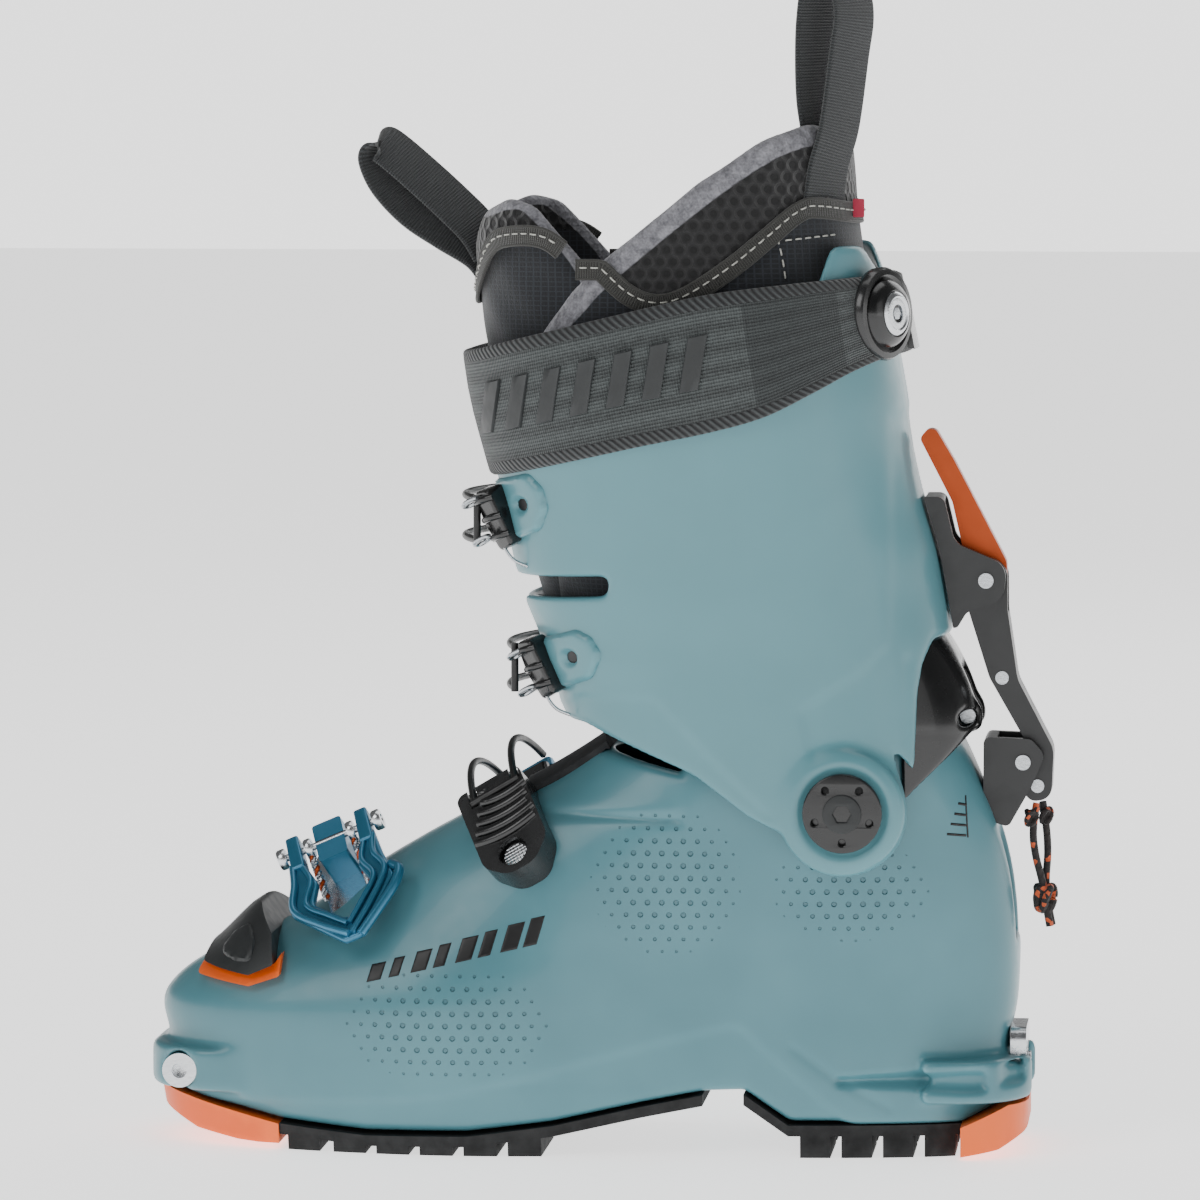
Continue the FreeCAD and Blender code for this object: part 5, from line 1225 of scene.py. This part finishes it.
def decal(tree, form, thick, edge=0.4, step=1.0, holes=(), side=-1.0, base=0.05):
    """A plate that follows the surface below it: its side-view outline is pushed onto the surface along Y."""
    loop = np.array(form, dtype=float)
    low, high = loop.min(0) - 2 * step, loop.max(0) + 2 * step
    xs, zs = np.arange(low[0], high[0] + step, step), np.arange(low[1], high[1] + step, step)
    gx, gz = np.meshgrid(xs, zs, indexing="ij")

    def depth(x, z):
        value = outline_distance(x, z, [tuple(p) for p in form])
        for hx, hz, radius in holes:
            value = np.maximum(value, radius - np.sqrt((x - hx) ** 2 + (z - hz) ** 2))
        return value

    for _ in range(3):
        d = depth(gx, gz)
        sx = (depth(gx + 0.05, gz) - depth(gx - 0.05, gz)) / 0.1
        sz = (depth(gx, gz + 0.05) - depth(gx, gz - 0.05)) / 0.1
        snap = np.where((d > 0) & (d < 1.5 * step), d, 0.0)
        gx, gz = gx - sx * snap, gz - sz * snap
    d = depth(gx, gz)
    keep = d < 0.02
    index, points, lows = {}, [], []
    for i, j in zip(*np.nonzero(keep)):
        hit, normal, _, _ = tree.ray_cast(Vector((gx[i, j], side * 200.0, gz[i, j])), Vector((0, -side, 0)))
        if hit is None:
            continue
        normal = normal if normal.y * side > 0 else -normal
        rise = thick * min(1.0, max(0.0, -d[i, j]) / edge) ** 0.5
        index[i, j] = len(points)
        points.append(hit + normal * (base + rise))
        lows.append(hit - normal * 0.4)
    count = len(points)
    faces = []
    for i, j in index:
        corners = [(i, j), (i + 1, j), (i + 1, j + 1), (i, j + 1)]
        found = [index[c] for c in corners if c in index]
        if len(found) >= 3:
            faces.append(found)
            faces.append([count + k for k in reversed(found)])
    bm = bmesh.new()
    verts = [bm.verts.new(p) for p in points + lows]
    for face in faces:
        bm.faces.new([verts[k] for k in face])
    loose = [v for v in bm.verts if not v.link_faces]
    bmesh.ops.delete(bm, geom=loose, context="VERTS")
    rims = [e for e in bm.edges if e.is_boundary]
    pairs = [(verts[k], verts[count + k]) for k in range(count)]
    partner = {upper: under for upper, under in pairs if upper.is_valid and under.is_valid}
    for rim in rims:
        a, b = rim.verts
        if a in partner and b in partner:
            bm.faces.new((a, b, partner[b], partner[a]))
    mesh = bpy.data.meshes.new("decal")
    bm.to_mesh(mesh)
    bm.free()
    return mesh


shell_tree = tree_of(lower_shell)
cuff_tree = tree_of(cuff)


# ------------------------------------------------------------------ marks on the shell: plain slanted bars

# Black print for the shell's marks; the same black is also painted shade in the cuff bosses' holes.
PRINT_AND_HOLE_SHADE = speckled("print_and_hole_shade_look", "0a0a0b", 0.42, grain=1300.0, depth=0.01, wear=0.0)
MARK_THICK = 0.12
MARK_EDGE = 0.1
BAR_WIDTHS = (4.6, 3.4, 5.0, 3.8, 5.2, 4.0, 5.4, 4.4)
SCALE_BARS = 4


def mark(form, step):
    """A printed mark on the near side of the shell."""
    return decal(shell_tree, form, MARK_THICK, MARK_EDGE, step), PRINT_AND_HOLE_SHADE


marks = []
for k, wide in enumerate(BAR_WIDTHS):
    share = k / (len(BAR_WIDTHS) - 1)
    left = -68.4 + 49.5 * share
    low = 55.7 + 11.7 * share
    tall = 5.4 + 3.6 * share
    slope = 0.236 * wide
    lean = 0.28 * tall
    marks.append(mark([(left, low), (left + wide, low + slope), (left + wide + lean, low + slope + tall),
                       (left + lean, low + tall)], 0.6))
for k in range(SCALE_BARS):
    low = 112.4 - 3.1 * k
    long = 2.6 + 1.1 * k
    marks.append(mark([(119.4 - long, low), (119.4, low - 0.8), (119.5, low), (119.5 - long, low + 0.8)],
                      0.4))
marks.append(mark([(119.7, 102.0), (120.2, 102.0), (119.2, 115.0), (118.8, 115.0)], 0.4))
piece("shell_marks", marks, "shell", "black_plastic")


# ------------------------------------------------------------------ ankle pivots

PIVOT_FACE_Y = 51.2
PIVOT_HOLES = 5
PIVOT_HOLE_RING = 9.0
PIVOT_BOLT = [(5.0, -9.0), (5.0, -1.2), (12.3, -1.2), (12.4, -0.2), (11.8, 0.2), (0.0, 0.2)]
pivot_shapes = []
hole_angles = [2 * math.pi * (k + 0.25) / PIVOT_HOLES for k in range(PIVOT_HOLES)]
ring = [disc(PIVOT_HOLE_RING * math.cos(a), PIVOT_HOLE_RING * math.sin(a), 1.1, 14) for a in hole_angles]
hexagon = [(2.9 * math.cos(math.pi * k / 3), 2.9 * math.sin(math.pi * k / 3)) for k in range(6)]
for side_sign in (-1.0, 1.0):
    face = Vector((PIVOT[0], side_sign * PIVOT_FACE_Y, PIVOT[1]))
    out = Vector((0.0, side_sign, 0.0))
    plate = plate_mesh([disc(0, 0, 12.4, 48)] + ring, 1.6, 0.5)
    centre = plate_mesh([disc(0, 0, 6.1, 36), hexagon], 2.2, 0.45)
    pivot_shapes += [(turned(PIVOT_BOLT, face, out), BLACK), (facing(plate, face + out * 0.8, out), BLACK),
                     (facing(centre, face + out * 1.3, out), SATIN_BLACK)]
piece("ankle_pivot_discs", pivot_shapes, "shell", "black_plastic", "ankle_bolts")


# ------------------------------------------------------------------ cuff bosses under the ladders

boss_shapes = []
for form, hole in (
        ([(-30.5, 213.2, 2), (-17.1, 216.8, 3), (-12.1, 212.1, 3), (-10.5, 205.8, 3), (-13.3, 198.6, 4),
          (-22.5, 194.7, 4), (-31.0, 196.0, 2)], (-19.2, 206.4, 1.9)),
        ([(-15.5, 163.5, 2), (-2.1, 167.8, 3), (2.9, 165.7, 3), (6.4, 160.1, 3), (2.9, 152.2, 4),
          (-7.5, 148.0, 4), (-16.0, 149.0, 2)], (-3.6, 158.7, 1.9))):
    boss_shapes.append((decal(cuff_tree, rounded(form), 1.9, 1.3, 1.0, [hole]), CUFF_PLASTIC))
    hx, hz, radius = hole
    # Painted shade: a thin black disc on the cuff darkens the bottom of each boss's hole.
    boss_shapes.append((decal(cuff_tree, disc(hx, hz, radius + 0.3), 0.25, 0.2, 0.6), PRINT_AND_HOLE_SHADE))
piece("cuff_bosses", boss_shapes, "cuff", "cuff_plastic")


# ------------------------------------------------------------------ ladders and their hooks

def ladder_piece(name, top, low, hooks, y_face, node):
    """A cuff buckle ladder: a toothed black block with round hooks and a thin guide wire."""
    (tx, tz), (bx, bz) = top, low
    down = Vector((bx - tx, 0, bz - tz)).normalized()
    out = Vector((-0.78, -0.62, -0.12)).normalized()
    across = down.cross(out).normalized()
    centre = Vector(((tx + bx) / 2, y_face, (tz + bz) / 2))
    long = math.hypot(bx - tx, bz - tz)
    form = rounded([(-long / 2, -4.6, 2), (long / 2, -4.6, 2), (long / 2 + 1, 3.4, 2.5), (0.0, 5.4, 4),
                    (-long / 2 - 1, 3.4, 2.5)])
    shapes = [(placed(plate_mesh([form], 7.0, 1.1), centre, down, across), BLACK)]
    for k in range(3):
        at = centre + down * ((k - 1) * long * 0.33) + out * 3.6
        line = [at - across * 4.8 - out * 1.2, at - across * 2.5 + out * 0.6, at + out * 1.1,
                at + across * 2.5 + out * 0.6, at + across * 4.8 - out * 1.2]
        shapes.append((tube_mesh(smooth_path([tuple(p) for p in line], 6), 1.15, 10, tuple(down)), BLACK))
    for hx, hz in hooks:
        ring = [(hx + 2.5 * math.cos(a), y_face - 1.0 + 2.2 * math.sin(a), hz + 1.6 * math.cos(a + 0.6))
                for a in np.linspace(0.4, 5.9, 16)]
        shapes.append((tube_mesh(ring, 0.75, 8), STEEL))
    cable = smooth_path([(bx - 4.0, y_face + 1.0, bz + 4.0), (bx - 2.5, y_face - 1.2, bz - 1.0),
                         (bx + 0.5, y_face - 1.6, bz - 5.0), (bx + 5.0, y_face - 2.0, bz - 7.0)], 8)
    shapes.append((tube_mesh(cable, 0.55, 8), STEEL))
    piece(name, shapes, "cuff", "black_plastic", node)


ladder_piece("upper_ladder", (-31.5, 210.5), (-23.5, 193.5), [(-36.5, 206.5), (-33.0, 194.5)], -29.0,
             "cuff_upper_ladder")
ladder_piece("lower_ladder", (-18.5, 163.0), (-10.5, 146.5), [(-22.5, 158.5), (-19.0, 147.0)], -26.5,
             "cuff_lower_ladder")


# ------------------------------------------------------------------ instep ladder: curved ribs, knurled rivet

CREST = Vector((0.86, 0.0, 0.51))
INSTEP_DOWN = Vector((0.10, -0.62, -0.78))
INSTEP_OUT = Vector((-0.316, -0.722, 0.533))
LADDER_START = Vector((-22.0, -33.0, 99.5))
ladder_tree = tree_of(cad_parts["instep_ladder"])
rib_shapes = []
for k in range(6):
    down = -17.5 + 3.5 * k
    half = 9.5 + 0.4 * k
    line = []
    for u in np.linspace(-half, half, 13):
        sag = 2.4 * (u / half) ** 2
        start = LADDER_START + CREST * u + INSTEP_DOWN * (down - sag) + INSTEP_OUT * 30.0
        hit, normal, _, _ = ladder_tree.ray_cast(start, -INSTEP_OUT)
        if hit is not None:
            line.append(tuple(hit + INSTEP_OUT * (0.55 - 0.5 * (u / half) ** 2)))
    if len(line) > 4:
        rib_shapes.append((tube_mesh(smooth_path(line, 3), 1.5, 10, tuple(INSTEP_DOWN), 0.75), BLACK))
piece("instep_ladder_ribs", rib_shapes, "shell", "black_plastic")
RIVET = Vector((-19.5, -37.0, 93.5)) + INSTEP_OUT * 4.0
RIVET_RING = [(5.0, -4.0), (5.2, 0.2), (4.9, 0.9), (4.4, 1.0), (4.3, 0.5), (0.0, 0.5)]
KNURL_TEETH = 48
knurl = []
for k, a in enumerate(2 * math.pi * np.arange(KNURL_TEETH) / KNURL_TEETH):
    reach = 4.3 * (1 + 0.02 * (k % 2))
    knurl.append((reach * math.cos(a), reach * math.sin(a)))
rivet_shapes = [(turned(RIVET_RING, RIVET, INSTEP_OUT), BLACK),
                (facing(plate_mesh([knurl], 1.0, 0.3), RIVET + INSTEP_OUT * 0.9, INSTEP_OUT), CHROME)]
for k in range(-3, 4):
    reach = math.sqrt(max(4.0 ** 2 - (k * 1.1) ** 2, 0.1))
    for turn in (CREST, CREST.cross(INSTEP_OUT)):
        cross = turn.cross(INSTEP_OUT).normalized()
        middle = RIVET + INSTEP_OUT * 1.4 + cross * (k * 1.1)
        line = [tuple(middle + turn * step) for step in (-reach, 0.0, reach)]
        rivet_shapes.append((tube_mesh(line, 0.22, 5, tuple(INSTEP_OUT)), CHROME))
piece("instep_stud", rivet_shapes, "shell", "steel", "instep_rivet")


# ------------------------------------------------------------------ toe buckle

TOE_AXIS = Vector((0.917, 0.0, 0.398))
TOE_DOWN = Vector((0.274, -0.724, -0.633))
TOE_OUT = Vector((-0.288, -0.690, 0.664))
TOE_HINGE = Vector((-84.0, -14.0, 97.0))


def toe_point(u, v, out=0.0):
    """A point on the toe lever: u towards the toe along the hinge, v down the lever, out from its face."""
    return tuple(TOE_HINGE - TOE_AXIS * u + TOE_DOWN * v + TOE_OUT * out)


def toe_rib(points, radius):
    """A rounded rib on the toe lever."""
    line = smooth_path([toe_point(*p) for p in points], 8)
    return tube_mesh(line, radius, 12, tuple(TOE_OUT), 0.9), BLUE


lever_form = rounded([(-14.6, 3.0, 1.5), (-9.6, 3.0, 1.5), (-9.2, 9.0, 2), (-7.0, 16.0, 3), (-10.0, 24.0, 3),
                      (0.0, 35.5, 3), (10.0, 24.0, 3), (7.0, 16.0, 3), (9.2, 9.0, 2), (9.6, 3.0, 1.5),
                      (14.6, 3.0, 1.5), (15.8, 14.0, 6), (18.0, 25.0, 3), (3.0, 43.5, 2.5), (-3.0, 43.5, 2.5),
                      (-18.0, 25.0, 3), (-15.8, 14.0, 6)])
toe_shapes = [(placed(plate_mesh([lever_form], 2.6, 0.8), TOE_HINGE, -TOE_AXIS, TOE_DOWN), BLUE)]
for u in (-12.0, 12.0):
    prong = rounded([(u - 2.2, -5.5, 1), (u + 2.2, -5.5, 1), (u + 2.4, 8.0, 1), (u - 2.4, 8.0, 1)])
    toe_shapes.append((placed(plate_mesh([prong], 5.4, 0.7), TOE_HINGE, -TOE_AXIS, TOE_DOWN), BLUE))
TOE_RIBS = [
    (1.35, [(14.0, 6.0, 1.2), (14.6, 14.0, 1.8), (16.4, 24.5, 2.0), (9.0, 34.0, 2.0), (0.5, 42.0, 1.8)]),
    (1.1, [(10.8, 7.0, 1.2), (9.0, 15.0, 1.8), (12.0, 24.0, 2.0), (6.0, 31.5, 2.0), (0.3, 37.6, 1.8)]),
    (1.2, [(-14.0, 6.0, 1.2), (-13.2, 14.0, 1.8), (-15.6, 22.0, 2.0), (-9.0, 32.5, 2.0), (-0.5, 42.0, 1.8)]),
    (1.1, [(-10.8, 7.0, 1.2), (-9.0, 15.0, 1.8), (-11.6, 23.0, 2.0), (-6.0, 31.0, 2.0), (-0.3, 37.6, 1.8)]),
    (1.75, [(-17.6, 20.5, 0.8), (-20.0, 24.5, 1.6), (-17.4, 30.0, 1.8), (-10.5, 37.0, 1.8),
            (-3.0, 43.4, 1.2)]),
]
toe_shapes += [toe_rib(points, radius) for radius, points in TOE_RIBS]
piece("toe_lever_frame", toe_shapes, "toe_lever", "blue_aluminium", "toe_lever")
PIN_HEAD = [(0.8, -1.4), (3.1, -1.4), (3.4, -0.9), (3.4, 0.9), (3.1, 1.4), (1.6, 1.4), (1.3, 0.7), (0.0, 0.7)]
EYELET = [(1.4, -1.2), (3.0, -1.2), (3.3, -0.7), (3.3, 0.7), (3.0, 1.2), (1.4, 1.2)]
CABLE_TWIST = 0.75
axle_shapes = [(tube_mesh([tuple(TOE_HINGE + TOE_AXIS * k) for k in (-16.5, 0.0, 16.5)], 1.15, 14), STEEL)]
cable_shapes = []
for u in (-16.6, 16.6):
    axle_shapes.append((turned(PIN_HEAD, toe_point(u, 0.0), TOE_AXIS * math.copysign(1, -u)), CHROME))
for u in (-7.4, 7.4):
    cable_shapes.append((turned(EYELET, toe_point(u, 0.0), TOE_AXIS), CHROME))
    start, end = Vector(toe_point(u, 2.0, -0.5)), Vector(toe_point(u, 16.5, -7.5))
    for strand_number in range(3):
        line = []
        for t in np.linspace(0.0, 1.0, 44):
            turn = 2 * math.pi * (3.2 * t + strand_number / 3)
            twist = TOE_AXIS * CABLE_TWIST * math.cos(turn) + TOE_OUT * CABLE_TWIST * math.sin(turn)
            line.append(tuple(start.lerp(end, t) + twist))
        # Painted highlight: one strand in three takes the burnt orange metal, for the warm glints along the
        # steel rope.
        cable_shapes.append((tube_mesh(line, 0.62, 7), BURNT if strand_number == 0 else STEEL))
piece("toe_eyelet_pin", axle_shapes, "shell", "steel", "toe_axle")
piece("toe_cables", cable_shapes, "shell", "steel", "toe_cable")


# ------------------------------------------------------------------ toe badge shield

badge_tree = tree_of(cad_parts["toe_badge"])
shield = rounded([(-118.5, 62.0, 2), (-112.0, 60.2, 2), (-106.5, 60.5, 2.5), (-105.5, 66.5, 2),
                  (-108.5, 71.5, 2), (-114.0, 68.0, 2)])
piece("badge_shield", [(decal(badge_tree, shield, 0.7, 0.5, 0.8, side=s), SATIN_BLACK) for s in (-1.0, 1.0)],
      "shell", "black_plastic")


# ------------------------------------------------------------------ rear spine cover

SPINE_ROWS = [
    (108.0, -20.0, 129.0, 41.8, 41.8, 3.0, 3.0),
    (117.0, -16.7, 125.4, 41.8, 41.8, 3.0, 3.0),
    (128.0, 1.0, 124.2, 41.4, 41.4, 3.0, 3.0),
    (138.0, 14.0, 123.0, 40.5, 40.5, 3.0, 3.0),
    (148.0, 24.0, 120.3, 39.0, 39.0, 2.9, 2.9),
    (160.0, 34.0, 114.5, 37.0, 37.0, 2.8, 2.8),
    (170.0, 40.0, 107.5, 35.0, 35.0, 2.8, 2.8),
]


def make_spine():
    """The glossy black insert behind the ankle, with two ears for the lock's bolt."""
    g = Field((94, -46, 108), (130, 46, 172), 0.8)
    form = g.outline(rounded([(99.0, 112.0, 2), (104.0, 117.5, 4), (121.0, 134.5, 3), (127.0, 136.0, 2),
                              (124.0, 150.0, 8), (112.5, 166.5, 4), (106.5, 167.5, 3), (99.0, 150.0, 6)]))
    cover = meet(meet(g.rows(SPINE_ROWS), -g.rows(SPINE_ROWS, 0.0, 3.0, 1.6), 0.6), form, 2.0)
    ears = meet(g.drum(118.6, 138.8, 5.0, -11.0, 11.0), 8.6 - np.abs(g.y), 0.8)
    slot = np.maximum(np.maximum(np.abs(g.y) - 8.6, 116.6 - g.x), np.abs(g.z - 140.0) - 16.0)
    spine = meet(join(cover, ears, 2.5), -slot, 1.0)
    hole = g.drum(119.0, 138.8, 2.5)
    field_piece("spine_cover", g, softened(meet(spine, -hole, 0.6)), 0.8, BLACK, "shell", "black_metal",
                "rear_spine")


make_spine()


# ------------------------------------------------------------------ floor

FLOOR_HALF = 9000
FLOOR_GLOW = 1.45
floor_mesh = raw_mesh([(u * FLOOR_HALF, v * FLOOR_HALF, 0) for u, v in ((-1, -1), (1, -1), (1, 1), (-1, 1))],
                      [(0, 1, 2, 3)])
floor_mesh.transform(Matrix.Scale(MM, 4))
floor = bpy.data.objects.new("floor", floor_mesh)
floor_look = Look("floor_look", 0.6)
floor_look.colour(floor_look.mix(floor_look.noise(3.0), (0.86, 0.86, 0.86, 1.0), (0.9, 0.9, 0.9, 1.0)))
floor_look.surface.inputs["Emission Color"].default_value = WHITE
floor_look.surface.inputs["Emission Strength"].default_value = FLOOR_GLOW
floor_mesh.materials.append(floor_look.material)
bpy.context.collection.objects.link(floor)
